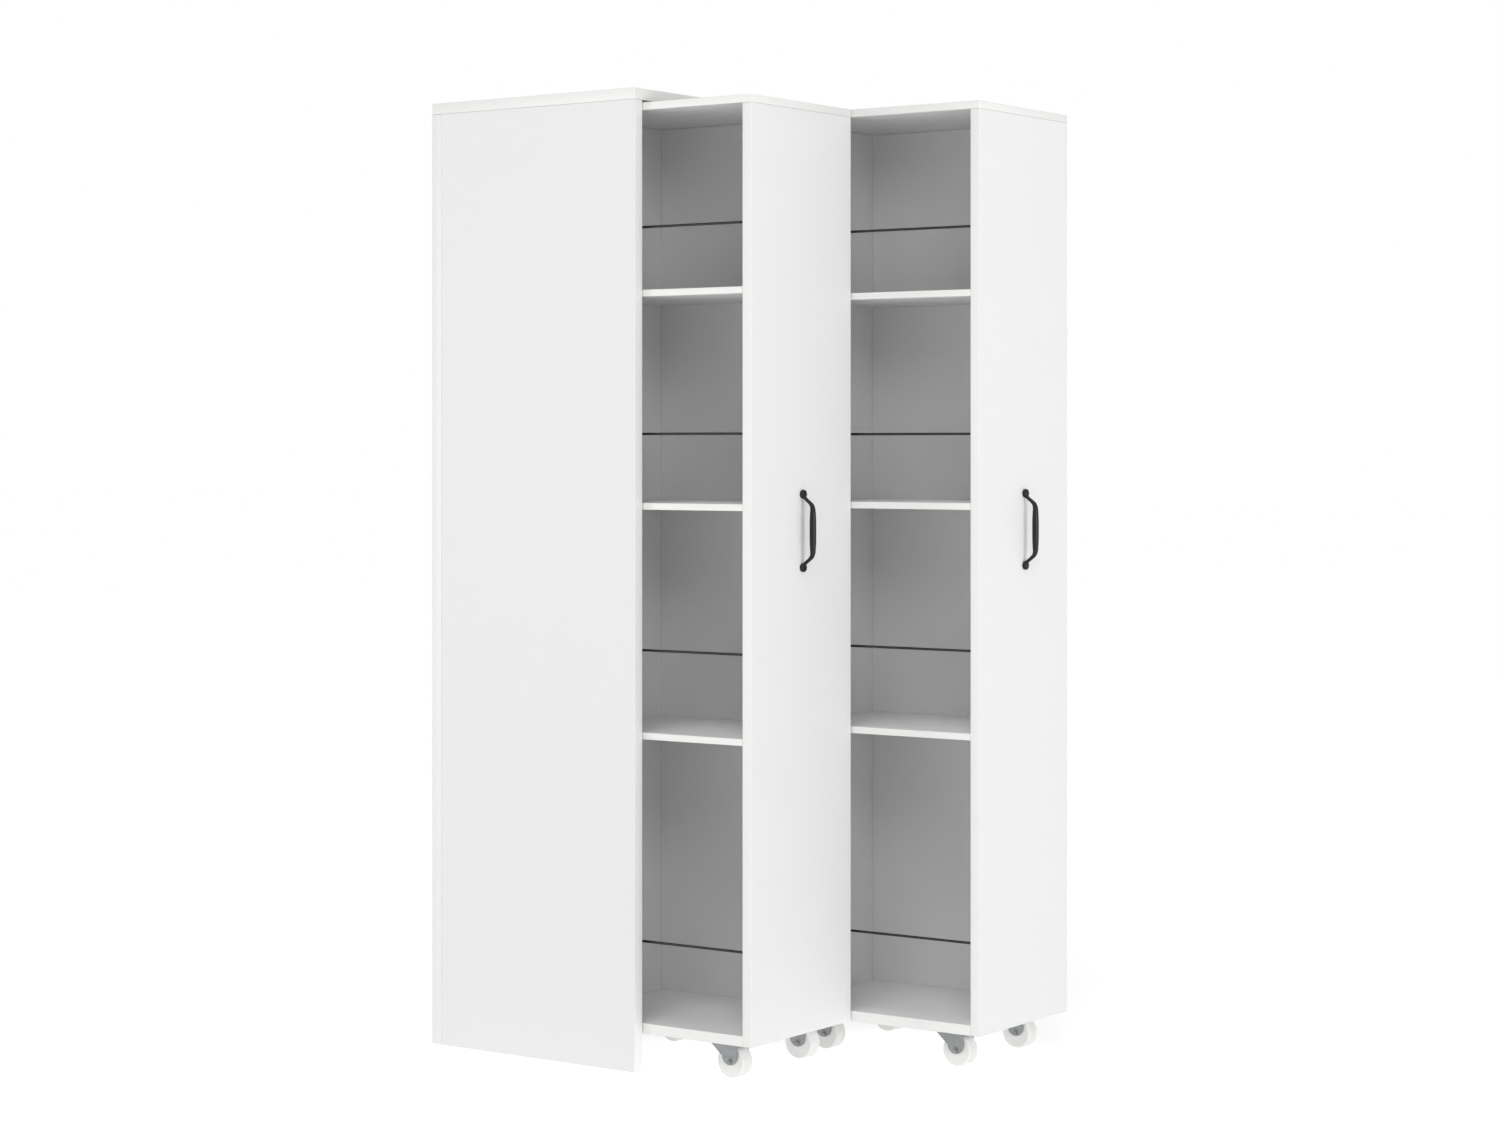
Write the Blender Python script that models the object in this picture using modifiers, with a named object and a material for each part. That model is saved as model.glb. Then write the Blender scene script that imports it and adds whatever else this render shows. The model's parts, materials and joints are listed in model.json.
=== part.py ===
"""Rolling storage tower: an open-front housing with two tall towers that roll out of it on casters.

Units are metres, +Z is up, +X runs across the housing's width and -Y is the front, the way the towers roll out.
The origin is on the floor at the centre of the bounding box, with both towers partly rolled out.
"""
from math import cos, radians, sin

import bmesh
import bpy
from mathutils import Matrix, Vector

# Clearances and small repeated sizes
FIT_GAP = 0.0003
CUT_OVERRUN = 0.002
MERGE_DISTANCE = 0.00001
ARRIS = 0.0008

# Housing, and the clearances that the towers have in it
HOUSING_SIDE_T = 0.025
HOUSING_TOP_T = 0.022
HOUSING_BACK_T = 0.025
SIDE_CLEARANCE = 0.002
TOP_CLEARANCE = 0.0045
REAR_CLEARANCE = 0.018
TOWER_SPACING = 0.003

# Towers
TOWER_WIDTH = 0.341
TOWER_DEPTH = 0.471
TOWER_HEIGHT = 1.800
TOWER_TOP_T = 0.015
TOWER_BOTTOM_T = 0.020
TOWER_FRONT_T = 0.020
TOWER_REAR_T = 0.015
TOWER_SIDE_T = 0.015
SHELF_T = 0.013
SHELF_HEIGHT_SHARES = (0.7986, 0.5697, 0.3231)
ROD_DIAMETER = 0.005
ROD_INSET = 0.012
ROD_HOLE_DEPTH = 0.008
TOWER_1_PULLED_OUT = 0.256
TOWER_2_PULLED_OUT = 0.550

# Guard rods: the rise of each above its shelf
UPPER_ROD_RISE = 0.1221
MIDDLE_ROD_RISE = 0.1335
LOWER_ROD_RISE = 0.1585
BOTTOM_ROD_RISE = 0.1565

# Handle
HANDLE_HEIGHT = 0.9717
HANDLE_SPACING = 0.1418
HANDLE_FOOT_DIAMETER = 0.017
HANDLE_FOOT_T = 0.007
HANDLE_FOOT_ROUNDING = 0.0015
HANDLE_STANDOFF = 0.0253
HANDLE_BAR_DIAMETER = 0.013
HANDLE_NECK_SHARE = 0.54
HANDLE_SHOULDER_SHARE = 0.69
HANDLE_GRIP_END_SHARE = 0.88
HANDLE_STRAIGHT = 0.072
HANDLE_SCREW_DIAMETER = 0.004
HANDLE_SCREW_GRIP = 0.006
HANDLE_SCREW_HEAD_DIAMETER = 0.0085
HANDLE_SCREW_HEAD_T = 0.0025

# Casters: the fork's front and rear are told from the axle
CASTER_HEIGHT = 0.0715
WHEEL_DIAMETER = 0.062
WHEEL_WIDTH = 0.032
WHEEL_ROUNDING = 0.0035
AXLE_DIAMETER = 0.006
AXLE_HEAD_DIAMETER = 0.011
AXLE_HEAD_T = 0.0035
FORK_SHEET_T = 0.002
FORK_SIDE_PLAY = 0.0008
FORK_FRONT_REACH = 0.0195
FORK_REAR_REACH = 0.050
FORK_LOBE_RADIUS = 0.018
FORK_LOBE_RISE = 0.0115
PLATE_MARGIN = 0.0025
PLATE_WIDTH = 0.066
PLATE_SCREW_EDGE = 0.008
CASTER_FROM_SIDE = 0.056
CASTER_FROM_FRONT = 0.077
CASTER_FROM_REAR = 0.085
CASTER_SCREW_DIAMETER = 0.004
CASTER_SCREW_GRIP = 0.013
CASTER_SCREW_HEAD_DIAMETER = 0.007
CASTER_SCREW_HEAD_T = 0.0022

# Glued dowels: each is fixed in the end of one board and stands in a hole of the next
DOWEL_DIAMETER = 0.006
DOWEL_STANDOUT = 0.010
DOWEL_ROOT = 0.004
SHELF_DOWEL_INSET = 0.060
PANEL_DOWEL_INSET = 0.070
SIDE_DOWEL_HEIGHT_SHARES = (0.12, 0.50, 0.88)
HOUSING_DOWEL_DIAMETER = 0.008
HOUSING_DOWEL_STANDOUT = 0.014
HOUSING_DOWEL_INSET = 0.060
HOUSING_DOWEL_HEIGHT_SHARES = (0.06, 0.35, 0.64, 0.92)

# Roundness of each kind of piece
WHEEL_STEPS = 24
ROUNDING_STEPS = 3
LOBE_STEPS = 8
BAR_SIDES_RESOLUTION = 2
BAR_CURVE_STEPS = 4
ROD_SIDES = 12
FOOT_SIDES = 20
AXLE_SIDES = 12
SCREW_HEAD_SIDES = 8
SCREW_SHANK_SIDES = 6
DOWEL_SIDES = 6

# Derived places
HOUSING_WIDTH = 2 * (HOUSING_SIDE_T + SIDE_CLEARANCE + TOWER_WIDTH) + TOWER_SPACING
HOUSING_DEPTH = TOWER_DEPTH + REAR_CLEARANCE + HOUSING_BACK_T
HOUSING_HEIGHT = CASTER_HEIGHT + TOWER_HEIGHT + TOP_CLEARANCE + HOUSING_TOP_T
PULLED_OUT = (TOWER_1_PULLED_OUT, TOWER_2_PULLED_OUT)
SHELF_TOPS = tuple(TOWER_HEIGHT * share for share in SHELF_HEIGHT_SHARES)
ROD_HEIGHTS = (
    SHELF_TOPS[0] + UPPER_ROD_RISE,
    SHELF_TOPS[1] + MIDDLE_ROD_RISE,
    SHELF_TOPS[2] + LOWER_ROD_RISE,
    TOWER_BOTTOM_T + BOTTOM_ROD_RISE,
)
HANDLE_REACH = HANDLE_STANDOFF + HANDLE_BAR_DIAMETER / 2
HOUSING_FRONT_Y = (max(PULLED_OUT) + HANDLE_REACH - HOUSING_DEPTH) / 2
HOUSING_PANEL_TOP = HOUSING_HEIGHT - HOUSING_TOP_T - FIT_GAP
TOWER_PANEL_TOP = TOWER_HEIGHT - TOWER_TOP_T - FIT_GAP
WHEEL_RADIUS = WHEEL_DIAMETER / 2
AXLE_DROP = CASTER_HEIGHT - WHEEL_RADIUS
FORK_INNER_WIDTH = WHEEL_WIDTH + 2 * FORK_SIDE_PLAY
FORK_OUTER_WIDTH = FORK_INNER_WIDTH + 2 * FORK_SHEET_T
PLATE_FRONT = FORK_FRONT_REACH + PLATE_MARGIN
PLATE_REAR = FORK_REAR_REACH + PLATE_MARGIN
TOWER_INNER_RIGHT = TOWER_WIDTH - TOWER_SIDE_T - FIT_GAP
SHELF_FRONT_Y = TOWER_FRONT_T + FIT_GAP
SHELF_REAR_Y = TOWER_DEPTH - TOWER_REAR_T - FIT_GAP

AXIS_TURN = {
    "X": Matrix.Rotation(radians(90), 4, "Y"),
    "Y": Matrix.Rotation(radians(90), 4, "X"),
    "Z": Matrix.Identity(4),
}


def clear_scene():
    """Remove every object, so that the file holds the model alone."""
    for obj in list(bpy.data.objects):
        bpy.data.objects.remove(obj, do_unlink=True)


def new_collection(name):
    collection = bpy.data.collections.new(name)
    bpy.context.scene.collection.children.link(collection)
    return collection


def new_material(name, colour, roughness, metallic):
    material = bpy.data.materials.new(name)
    material.use_nodes = True
    shader = material.node_tree.nodes["Principled BSDF"]
    shader.inputs["Base Color"].default_value = (*colour, 1)
    shader.inputs["Roughness"].default_value = roughness
    shader.inputs["Metallic"].default_value = metallic
    return material


clear_scene()
PARTS = new_collection("rolling_storage_tower")
CUTTERS = new_collection("cutters")

WHITE_BOARD = new_material("white_laminated_board", (0.86, 0.86, 0.85), 0.45, 0)
BLACK_METAL = new_material("black_painted_metal", (0.012, 0.012, 0.013), 0.40, 0)
ZINC_STEEL = new_material("zinc_plated_steel", (0.42, 0.42, 0.43), 0.42, 1)
WHEEL_PLASTIC = new_material("pale_wheel_plastic", (0.74, 0.74, 0.73), 0.40, 0)


def add_object(name, mesh, material, parent=None, collection=PARTS):
    """Put a mesh in the model as an object of its own."""
    obj = bpy.data.objects.new(name, mesh)
    collection.objects.link(obj)
    if material is not None:
        mesh.materials.clear()
        mesh.materials.append(material)
    obj.parent = parent
    return obj


def add_cutter(name, mesh, parent=None):
    """Put a mesh among the cutters, drawn as a wire and left out of the model."""
    cutter = add_object(name, mesh, None, parent, CUTTERS)
    cutter.hide_render = True
    cutter.display_type = "WIRE"
    return cutter


def finished_mesh(obj, name):
    """The object's mesh with its modifiers applied. The object itself is removed."""
    depsgraph = bpy.context.evaluated_depsgraph_get()
    mesh = bpy.data.meshes.new_from_object(obj.evaluated_get(depsgraph))
    mesh.name = name
    bpy.data.objects.remove(obj, do_unlink=True)
    return mesh


def welded(mesh):
    """Join a mesh's doubled points, such as those round a curve's caps."""
    shape = bmesh.new()
    shape.from_mesh(mesh)
    bmesh.ops.remove_doubles(shape, verts=shape.verts, dist=MERGE_DISTANCE)
    bmesh.ops.recalc_face_normals(shape, faces=shape.faces)
    shape.to_mesh(mesh)
    shape.free()
    return mesh


def smooth(mesh, sharp_degrees=35):
    """Shade a round piece smooth, and keep its real edges sharp."""
    mesh.shade_smooth()
    mesh.set_sharp_from_angle(angle=radians(sharp_degrees))
    return mesh


def boolean(obj, other, operation, name):
    modifier = obj.modifiers.new(name, "BOOLEAN")
    modifier.operation = operation
    modifier.object = other
    modifier.solver = "EXACT"


def box_mesh(name, size):
    shape = bmesh.new()
    bmesh.ops.create_cube(shape, size=1, matrix=Matrix.Diagonal((*size, 1)))
    mesh = bpy.data.meshes.new(name)
    shape.to_mesh(mesh)
    shape.free()
    return mesh


def cylinder_mesh(name, rounds, sides):
    """One mesh of separate cylinders. Each is (centre, axis letter, diameter, length)."""
    shape = bmesh.new()
    for centre, axis, diameter, length in rounds:
        bmesh.ops.create_cone(
            shape,
            cap_ends=True,
            segments=sides,
            radius1=diameter / 2,
            radius2=diameter / 2,
            depth=length,
            matrix=Matrix.Translation(centre) @ AXIS_TURN[axis],
        )
    mesh = bpy.data.meshes.new(name)
    shape.to_mesh(mesh)
    shape.free()
    return mesh


def shifted(point, axis, distance):
    """The point moved along an axis letter."""
    moved = Vector(point)
    moved["XYZ".index(axis)] += distance
    return moved


def add_board(name, low, high, parent):
    """A flat board between two corners, with a fine arris along its edges."""
    low = Vector(low)
    high = Vector(high)
    board = add_object(name, box_mesh(name, high - low), WHITE_BOARD, parent)
    board.location = (low + high) / 2
    arris = board.modifiers.new("arris", "BEVEL")
    arris.width = ARRIS
    arris.segments = 1
    arris.limit_method = "ANGLE"
    return board


def drill(board, rounds, sides, parent):
    """Cut round holes into a board. Each is (centre, axis letter, diameter, length)."""
    if not rounds:
        return
    name = f"{board.name}_holes_{len(board.modifiers)}"
    cutter = add_cutter(name, cylinder_mesh(name, rounds, sides), parent)
    boolean(board, cutter, "DIFFERENCE", name)


def hole_from(mouth, axis, direction, diameter, depth):
    """A blind hole from its mouth into the material, with its mouth cut clear."""
    centre = shifted(mouth, axis, direction * (depth - CUT_OVERRUN) / 2)
    return (centre, axis, diameter + 2 * FIT_GAP, depth + CUT_OVERRUN)


def joint_dowels(owner, neighbour, places, axis, direction, diameter, standout, parent):
    """Glued dowels from the owner's end into holes of its neighbour. places are their points in the owner's end."""
    dowels = []
    holes = []
    for place in places:
        length = DOWEL_ROOT + standout
        middle = shifted(place, axis, direction * (standout - DOWEL_ROOT) / 2)
        dowels.append((middle, axis, diameter, length))
        mouth = shifted(place, axis, direction * FIT_GAP)
        holes.append(hole_from(mouth, axis, direction, diameter, standout))
    name = f"{owner.name}_dowels_{len(owner.modifiers)}"
    pins = add_cutter(name, cylinder_mesh(name, dowels, DOWEL_SIDES), parent)
    boolean(owner, pins, "UNION", name)
    drill(neighbour, holes, DOWEL_SIDES, parent)


def arc(centre, radius, start_degrees, end_degrees, steps):
    """Points along an arc, from its start to its end."""
    points = []
    for index in range(steps + 1):
        angle = radians(start_degrees + (end_degrees - start_degrees) * index / steps)
        points.append((centre[0] + radius * cos(angle), centre[1] + radius * sin(angle)))
    return points


def wheel_mesh():
    """A wide solid wheel with rounded shoulders and an axle bore, turned about its own axis."""
    half_width = WHEEL_WIDTH / 2
    bore_radius = AXLE_DIAMETER / 2 + FIT_GAP
    shoulder_r = WHEEL_RADIUS - WHEEL_ROUNDING
    shoulder_z = half_width - WHEEL_ROUNDING
    profile = [(bore_radius, half_width)]
    profile += reversed(arc((shoulder_r, shoulder_z), WHEEL_ROUNDING, 0, 90, ROUNDING_STEPS))
    profile += reversed(arc((shoulder_r, -shoulder_z), WHEEL_ROUNDING, -90, 0, ROUNDING_STEPS))
    profile.append((bore_radius, -half_width))
    count = len(profile)
    mesh = bpy.data.meshes.new("wheel_profile")
    mesh.from_pydata(
        [(radius, 0, height) for radius, height in profile],
        [(index, (index + 1) % count) for index in range(count)],
        [],
    )
    obj = add_object("wheel_profile", mesh, None)
    screw = obj.modifiers.new("turn", "SCREW")
    screw.axis = "Z"
    screw.steps = WHEEL_STEPS
    screw.render_steps = WHEEL_STEPS
    screw.use_merge_vertices = True
    screw.merge_threshold = MERGE_DISTANCE
    return smooth(welded(finished_mesh(obj, "wheel")))


def cheek_outline():
    """The fork cheek's outline seen from the side, about the axle: a leaning trapezoid that ends in a round lobe."""
    top = AXLE_DROP - FIT_GAP
    lobe = arc((0, FORK_LOBE_RISE), FORK_LOBE_RADIUS, 0, -180, LOBE_STEPS)
    return [(FORK_FRONT_REACH, top), *lobe, (-FORK_REAR_REACH, top)]


def cheek(x):
    """One pressed cheek of the fork, cut from sheet, with its middle plane at x."""
    curve = bpy.data.curves.new("fork_cheek", "CURVE")
    curve.dimensions = "2D"
    curve.fill_mode = "BOTH"
    curve.extrude = FORK_SHEET_T / 2
    outline = cheek_outline()
    spline = curve.splines.new("POLY")
    spline.points.add(len(outline) - 1)
    for point, (along, up) in zip(spline.points, outline):
        point.co = (along, up, 0, 1)
    spline.use_cyclic_u = True
    flat = add_object("fork_cheek", curve, None)
    mesh = welded(finished_mesh(flat, "fork_cheek"))
    stand_up = Matrix(((0, 0, -1, 0), (-1, 0, 0, 0), (0, 1, 0, 0), (0, 0, 0, 1)))
    mesh.transform(Matrix.Translation((x, 0, 0)) @ stand_up)
    return mesh


def plate_screw_places():
    """The four screws of a caster's mounting plate, told from the axle."""
    x = PLATE_WIDTH / 2 - PLATE_SCREW_EDGE
    front = -PLATE_FRONT + PLATE_SCREW_EDGE
    rear = PLATE_REAR - PLATE_SCREW_EDGE
    return [(side * x, y) for side in (-1, 1) for y in (front, rear)]


def fork_mesh():
    """A fixed caster fork about its axle: its mounting plate with four screws, and a cheek beside the wheel."""
    top = AXLE_DROP - FIT_GAP
    size = (PLATE_WIDTH, PLATE_FRONT + PLATE_REAR, FORK_SHEET_T)
    plate_mesh = box_mesh("fork_plate", size)
    plate_mesh.transform(Matrix.Translation((0, (PLATE_REAR - PLATE_FRONT) / 2, top - FORK_SHEET_T / 2)))
    plate = add_object("fork_plate", plate_mesh, None)
    cheek_x = (FORK_INNER_WIDTH + FORK_SHEET_T) / 2
    helpers = []
    for side in (-1, 1):
        helper = add_cutter(f"fork_cheek_{side}", cheek(side * cheek_x))
        boolean(plate, helper, "UNION", f"cheek_{side}")
        helpers.append(helper)

    head_under = top - FORK_SHEET_T - CASTER_SCREW_HEAD_T
    head_top = top - FORK_SHEET_T / 2
    shank_top = AXLE_DROP + CASTER_SCREW_GRIP
    heads = []
    shanks = []
    for x, y in plate_screw_places():
        head_middle = Vector((x, y, (head_under + head_top) / 2))
        heads.append((head_middle, "Z", CASTER_SCREW_HEAD_DIAMETER, head_top - head_under))
        shank_middle = Vector((x, y, (head_top + shank_top) / 2))
        shanks.append((shank_middle, "Z", CASTER_SCREW_DIAMETER, shank_top - head_top))
    for name, rounds, sides in (("heads", heads, SCREW_HEAD_SIDES), ("shanks", shanks, SCREW_SHANK_SIDES)):
        helper = add_cutter(f"fork_screw_{name}", cylinder_mesh(f"fork_screw_{name}", rounds, sides))
        boolean(plate, helper, "UNION", name)
        helpers.append(helper)

    axle_hole = (Vector(), "X", AXLE_DIAMETER + 2 * FIT_GAP, FORK_OUTER_WIDTH + 2 * CUT_OVERRUN)
    bore = add_cutter("fork_axle_bore", cylinder_mesh("fork_axle_bore", [axle_hole], AXLE_SIDES))
    boolean(plate, bore, "DIFFERENCE", "axle_bore")
    helpers.append(bore)
    mesh = finished_mesh(plate, "caster_fork")
    for helper in helpers:
        bpy.data.objects.remove(helper, do_unlink=True)
    return smooth(mesh)


def handle_path():
    """Half of the bow handle's middle line, as (distance from the panel, height, share of the bar's size)."""
    foot_height = HANDLE_SPACING / 2
    half_straight = HANDLE_STRAIGHT / 2
    rise = foot_height - half_straight
    shares = (
        (0.37, 0.70, HANDLE_NECK_SHARE),
        (0.66, 0.56, HANDLE_NECK_SHARE),
        (0.91, 0.37, HANDLE_SHOULDER_SHARE),
    )
    neck = [(HANDLE_STANDOFF * out, half_straight + rise * up, size) for out, up, size in shares]
    root = (HANDLE_FOOT_T / 2, foot_height - HANDLE_FOOT_DIAMETER / 4, HANDLE_NECK_SHARE)
    return [root, *neck, (HANDLE_STANDOFF, half_straight, HANDLE_GRIP_END_SHARE)]


def handle_bar_mesh():
    """The handle's bar on its thin necks: a tube along one smooth line, straight and thickest in the middle."""
    half = handle_path()
    path = [*half, (HANDLE_STANDOFF, 0, 1), *((out, -height, share) for out, height, share in reversed(half))]
    curve = bpy.data.curves.new("handle_bar", "CURVE")
    curve.dimensions = "3D"
    curve.bevel_depth = HANDLE_BAR_DIAMETER / 2
    curve.bevel_resolution = BAR_SIDES_RESOLUTION
    curve.resolution_u = BAR_CURVE_STEPS
    curve.use_fill_caps = True
    spline = curve.splines.new("BEZIER")
    spline.bezier_points.add(len(path) - 1)
    for point, (out, height, share) in zip(spline.bezier_points, path):
        point.co = (0, -out, height)
        point.radius = share
        point.handle_left_type = "AUTO"
        point.handle_right_type = "AUTO"
    tangent = Vector((0, 0, (HANDLE_SPACING - HANDLE_STRAIGHT) / 8))
    for point in (spline.bezier_points[len(half) - 1], spline.bezier_points[len(half) + 1]):
        point.handle_left_type = "FREE"
        point.handle_right_type = "FREE"
        point.handle_left = point.co + tangent
        point.handle_right = point.co - tangent
    bar = add_object("handle_bar", curve, None)
    return welded(finished_mesh(bar, "handle_bar"))


def handle_mesh():
    """A bow handle about its middle on the panel's face: two round feet and a thick bar on thin necks."""
    handle = add_object("handle_bar", handle_bar_mesh(), None)
    foot_places = [(0, -(HANDLE_FOOT_T + FIT_GAP) / 2, side * HANDLE_SPACING / 2) for side in (-1, 1)]
    feet = [(Vector(place), "Y", HANDLE_FOOT_DIAMETER, HANDLE_FOOT_T - FIT_GAP) for place in foot_places]
    feet_object = add_cutter("handle_feet", cylinder_mesh("handle_feet", feet, FOOT_SIDES))
    rounding = feet_object.modifiers.new("rounding", "BEVEL")
    rounding.width = HANDLE_FOOT_ROUNDING
    rounding.segments = 1
    rounding.limit_method = "ANGLE"
    boolean(handle, feet_object, "UNION", "feet")

    holes = [
        hole_from((0, -FIT_GAP, side * HANDLE_SPACING / 2), "Y", -1, HANDLE_SCREW_DIAMETER, HANDLE_SCREW_GRIP)
        for side in (-1, 1)
    ]
    threads = add_cutter("handle_threads", cylinder_mesh("handle_threads", holes, SCREW_SHANK_SIDES))
    boolean(handle, threads, "DIFFERENCE", "threads")
    mesh = finished_mesh(handle, "handle")
    for helper in (feet_object, threads):
        bpy.data.objects.remove(helper, do_unlink=True)
    return smooth(mesh)


def headed_pin_mesh(name, shank, heads, shank_sides, head_sides):
    """A pin with its heads, joined as one solid. The shank and heads are cylinders."""
    pin = add_object(name, cylinder_mesh(name, [shank], shank_sides), None)
    heads_name = f"{name}_heads"
    head_object = add_cutter(heads_name, cylinder_mesh(heads_name, heads, head_sides))
    boolean(pin, head_object, "UNION", "heads")
    mesh = finished_mesh(pin, name)
    bpy.data.objects.remove(head_object, do_unlink=True)
    return mesh


def axle_mesh():
    """A fixed axle bolt about the wheel's middle, with a head outside each cheek."""
    head_x = FORK_OUTER_WIDTH / 2 + FIT_GAP + AXLE_HEAD_T / 2
    heads = [(Vector((side * head_x, 0, 0)), "X", AXLE_HEAD_DIAMETER, AXLE_HEAD_T) for side in (-1, 1)]
    return headed_pin_mesh("axle", (Vector(), "X", AXLE_DIAMETER, 2 * head_x), heads, AXLE_SIDES, SCREW_HEAD_SIDES)


def handle_screw_mesh():
    """A screw through the front panel, about its own axis on the panel's outer face, with its head inside."""
    tip = FIT_GAP - HANDLE_SCREW_GRIP
    head_middle = TOWER_FRONT_T + FIT_GAP + HANDLE_SCREW_HEAD_T / 2
    shank = (Vector((0, (tip + head_middle) / 2, 0)), "Y", HANDLE_SCREW_DIAMETER, head_middle - tip)
    head = (Vector((0, head_middle, 0)), "Y", HANDLE_SCREW_HEAD_DIAMETER, HANDLE_SCREW_HEAD_T)
    return headed_pin_mesh("handle_screw", shank, [head], SCREW_SHANK_SIDES, SCREW_HEAD_SIDES)


def add_empty(name, location, parent=None):
    empty = bpy.data.objects.new(name, None)
    PARTS.objects.link(empty)
    empty.location = location
    empty.parent = parent
    return empty


def build_housing():
    """Two side panels, with a top board over them and a back panel behind them, all standing on the floor."""
    origin = add_empty("housing_origin", (-HOUSING_WIDTH / 2, HOUSING_FRONT_Y, 0))
    back_y = HOUSING_DEPTH - HOUSING_BACK_T
    side_rear = back_y - FIT_GAP
    right_x = HOUSING_WIDTH - HOUSING_SIDE_T
    left = add_board("housing_left_panel", (0, 0, 0), (HOUSING_SIDE_T, side_rear, HOUSING_PANEL_TOP), origin)
    right = add_board("housing_right_panel", (right_x, 0, 0), (HOUSING_WIDTH, side_rear, HOUSING_PANEL_TOP), origin)
    back = add_board(
        "housing_back_panel", (0, back_y, 0), (HOUSING_WIDTH, HOUSING_DEPTH, HOUSING_PANEL_TOP), origin
    )
    top = add_board(
        "housing_top_board",
        (0, 0, HOUSING_HEIGHT - HOUSING_TOP_T),
        (HOUSING_WIDTH, HOUSING_DEPTH, HOUSING_HEIGHT),
        origin,
    )
    size = (HOUSING_DOWEL_DIAMETER, HOUSING_DOWEL_STANDOUT)
    ends = (HOUSING_DOWEL_INSET, side_rear / 2, side_rear - HOUSING_DOWEL_INSET)
    for panel, x in ((left, HOUSING_SIDE_T / 2), (right, HOUSING_WIDTH - HOUSING_SIDE_T / 2)):
        up = [(x, y, HOUSING_PANEL_TOP) for y in ends]
        joint_dowels(panel, top, up, "Z", 1, *size, origin)
        behind = [(x, side_rear, HOUSING_HEIGHT * share) for share in HOUSING_DOWEL_HEIGHT_SHARES]
        joint_dowels(panel, back, behind, "Y", 1, *size, origin)


def add_tower_boards(prefix, tower):
    """The tower's body: its right side is closed and its left side is open."""
    rear_y = TOWER_DEPTH - TOWER_REAR_T
    return {
        "top": add_board(
            f"{prefix}_top_board",
            (0, 0, TOWER_HEIGHT - TOWER_TOP_T),
            (TOWER_WIDTH, TOWER_DEPTH, TOWER_HEIGHT),
            tower,
        ),
        "bottom": add_board(
            f"{prefix}_bottom_board", (0, SHELF_FRONT_Y, 0), (TOWER_INNER_RIGHT, SHELF_REAR_Y, TOWER_BOTTOM_T), tower
        ),
        "front": add_board(
            f"{prefix}_front_panel", (0, 0, 0), (TOWER_WIDTH, TOWER_FRONT_T, TOWER_PANEL_TOP), tower
        ),
        "rear": add_board(
            f"{prefix}_rear_panel", (0, rear_y, 0), (TOWER_WIDTH, TOWER_DEPTH, TOWER_PANEL_TOP), tower
        ),
        "side": add_board(
            f"{prefix}_side_panel",
            (TOWER_WIDTH - TOWER_SIDE_T, SHELF_FRONT_Y, 0),
            (TOWER_WIDTH, SHELF_REAR_Y, TOWER_PANEL_TOP),
            tower,
        ),
    }


def add_shelves(prefix, tower):
    return [
        add_board(
            f"{prefix}_shelf_{number}",
            (0, SHELF_FRONT_Y, height - SHELF_T),
            (TOWER_INNER_RIGHT, SHELF_REAR_Y, height),
            tower,
        )
        for number, height in enumerate(SHELF_TOPS, 1)
    ]


def add_guard_rods(prefix, boards, tower):
    """Thin rods across the open side, each with its ends in blind holes of the front and rear panels."""
    reach = ROD_HOLE_DEPTH - FIT_GAP
    front_end = TOWER_FRONT_T - reach
    rear_end = TOWER_DEPTH - TOWER_REAR_T + reach
    front_holes = []
    rear_holes = []
    for number, height in enumerate(ROD_HEIGHTS, 1):
        name = f"{prefix}_guard_rod_{number}"
        mesh = smooth(cylinder_mesh(name, [(Vector(), "Y", ROD_DIAMETER, rear_end - front_end)], ROD_SIDES))
        rod = add_object(name, mesh, BLACK_METAL, tower)
        rod.location = (ROD_INSET, (front_end + rear_end) / 2, height)
        front_mouth = (ROD_INSET, TOWER_FRONT_T, height)
        rear_mouth = (ROD_INSET, TOWER_DEPTH - TOWER_REAR_T, height)
        front_holes.append(hole_from(front_mouth, "Y", -1, ROD_DIAMETER, ROD_HOLE_DEPTH))
        rear_holes.append(hole_from(rear_mouth, "Y", 1, ROD_DIAMETER, ROD_HOLE_DEPTH))
    drill(boards["front"], front_holes, ROD_SIDES, tower)
    drill(boards["rear"], rear_holes, ROD_SIDES, tower)


def join_boards(boards, shelves, tower):
    """Dowels hold the shelves, bottom board and side panel between the end panels, and the top board over them."""
    size = (DOWEL_DIAMETER, DOWEL_STANDOUT)
    shelf_xs = (SHELF_DOWEL_INSET, TOWER_INNER_RIGHT - SHELF_DOWEL_INSET)
    carried = [(shelf, height - SHELF_T / 2) for shelf, height in zip(shelves, SHELF_TOPS)]
    carried.append((boards["bottom"], TOWER_BOTTOM_T / 2))
    joints = [(board, [(x, height) for x in shelf_xs]) for board, height in carried]
    side_x = TOWER_WIDTH - TOWER_SIDE_T / 2
    joints.append((boards["side"], [(side_x, TOWER_PANEL_TOP * share) for share in SIDE_DOWEL_HEIGHT_SHARES]))
    for board, points in joints:
        in_front = [(x, SHELF_FRONT_Y, z) for x, z in points]
        joint_dowels(board, boards["front"], in_front, "Y", -1, *size, tower)
        behind = [(x, SHELF_REAR_Y, z) for x, z in points]
        joint_dowels(board, boards["rear"], behind, "Y", 1, *size, tower)
    for board, y in ((boards["front"], TOWER_FRONT_T / 2), (boards["rear"], TOWER_DEPTH - TOWER_REAR_T / 2)):
        up = [(x, y, TOWER_PANEL_TOP) for x in (PANEL_DOWEL_INSET, TOWER_WIDTH - PANEL_DOWEL_INSET)]
        joint_dowels(board, boards["top"], up, "Z", 1, *size, tower)


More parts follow.
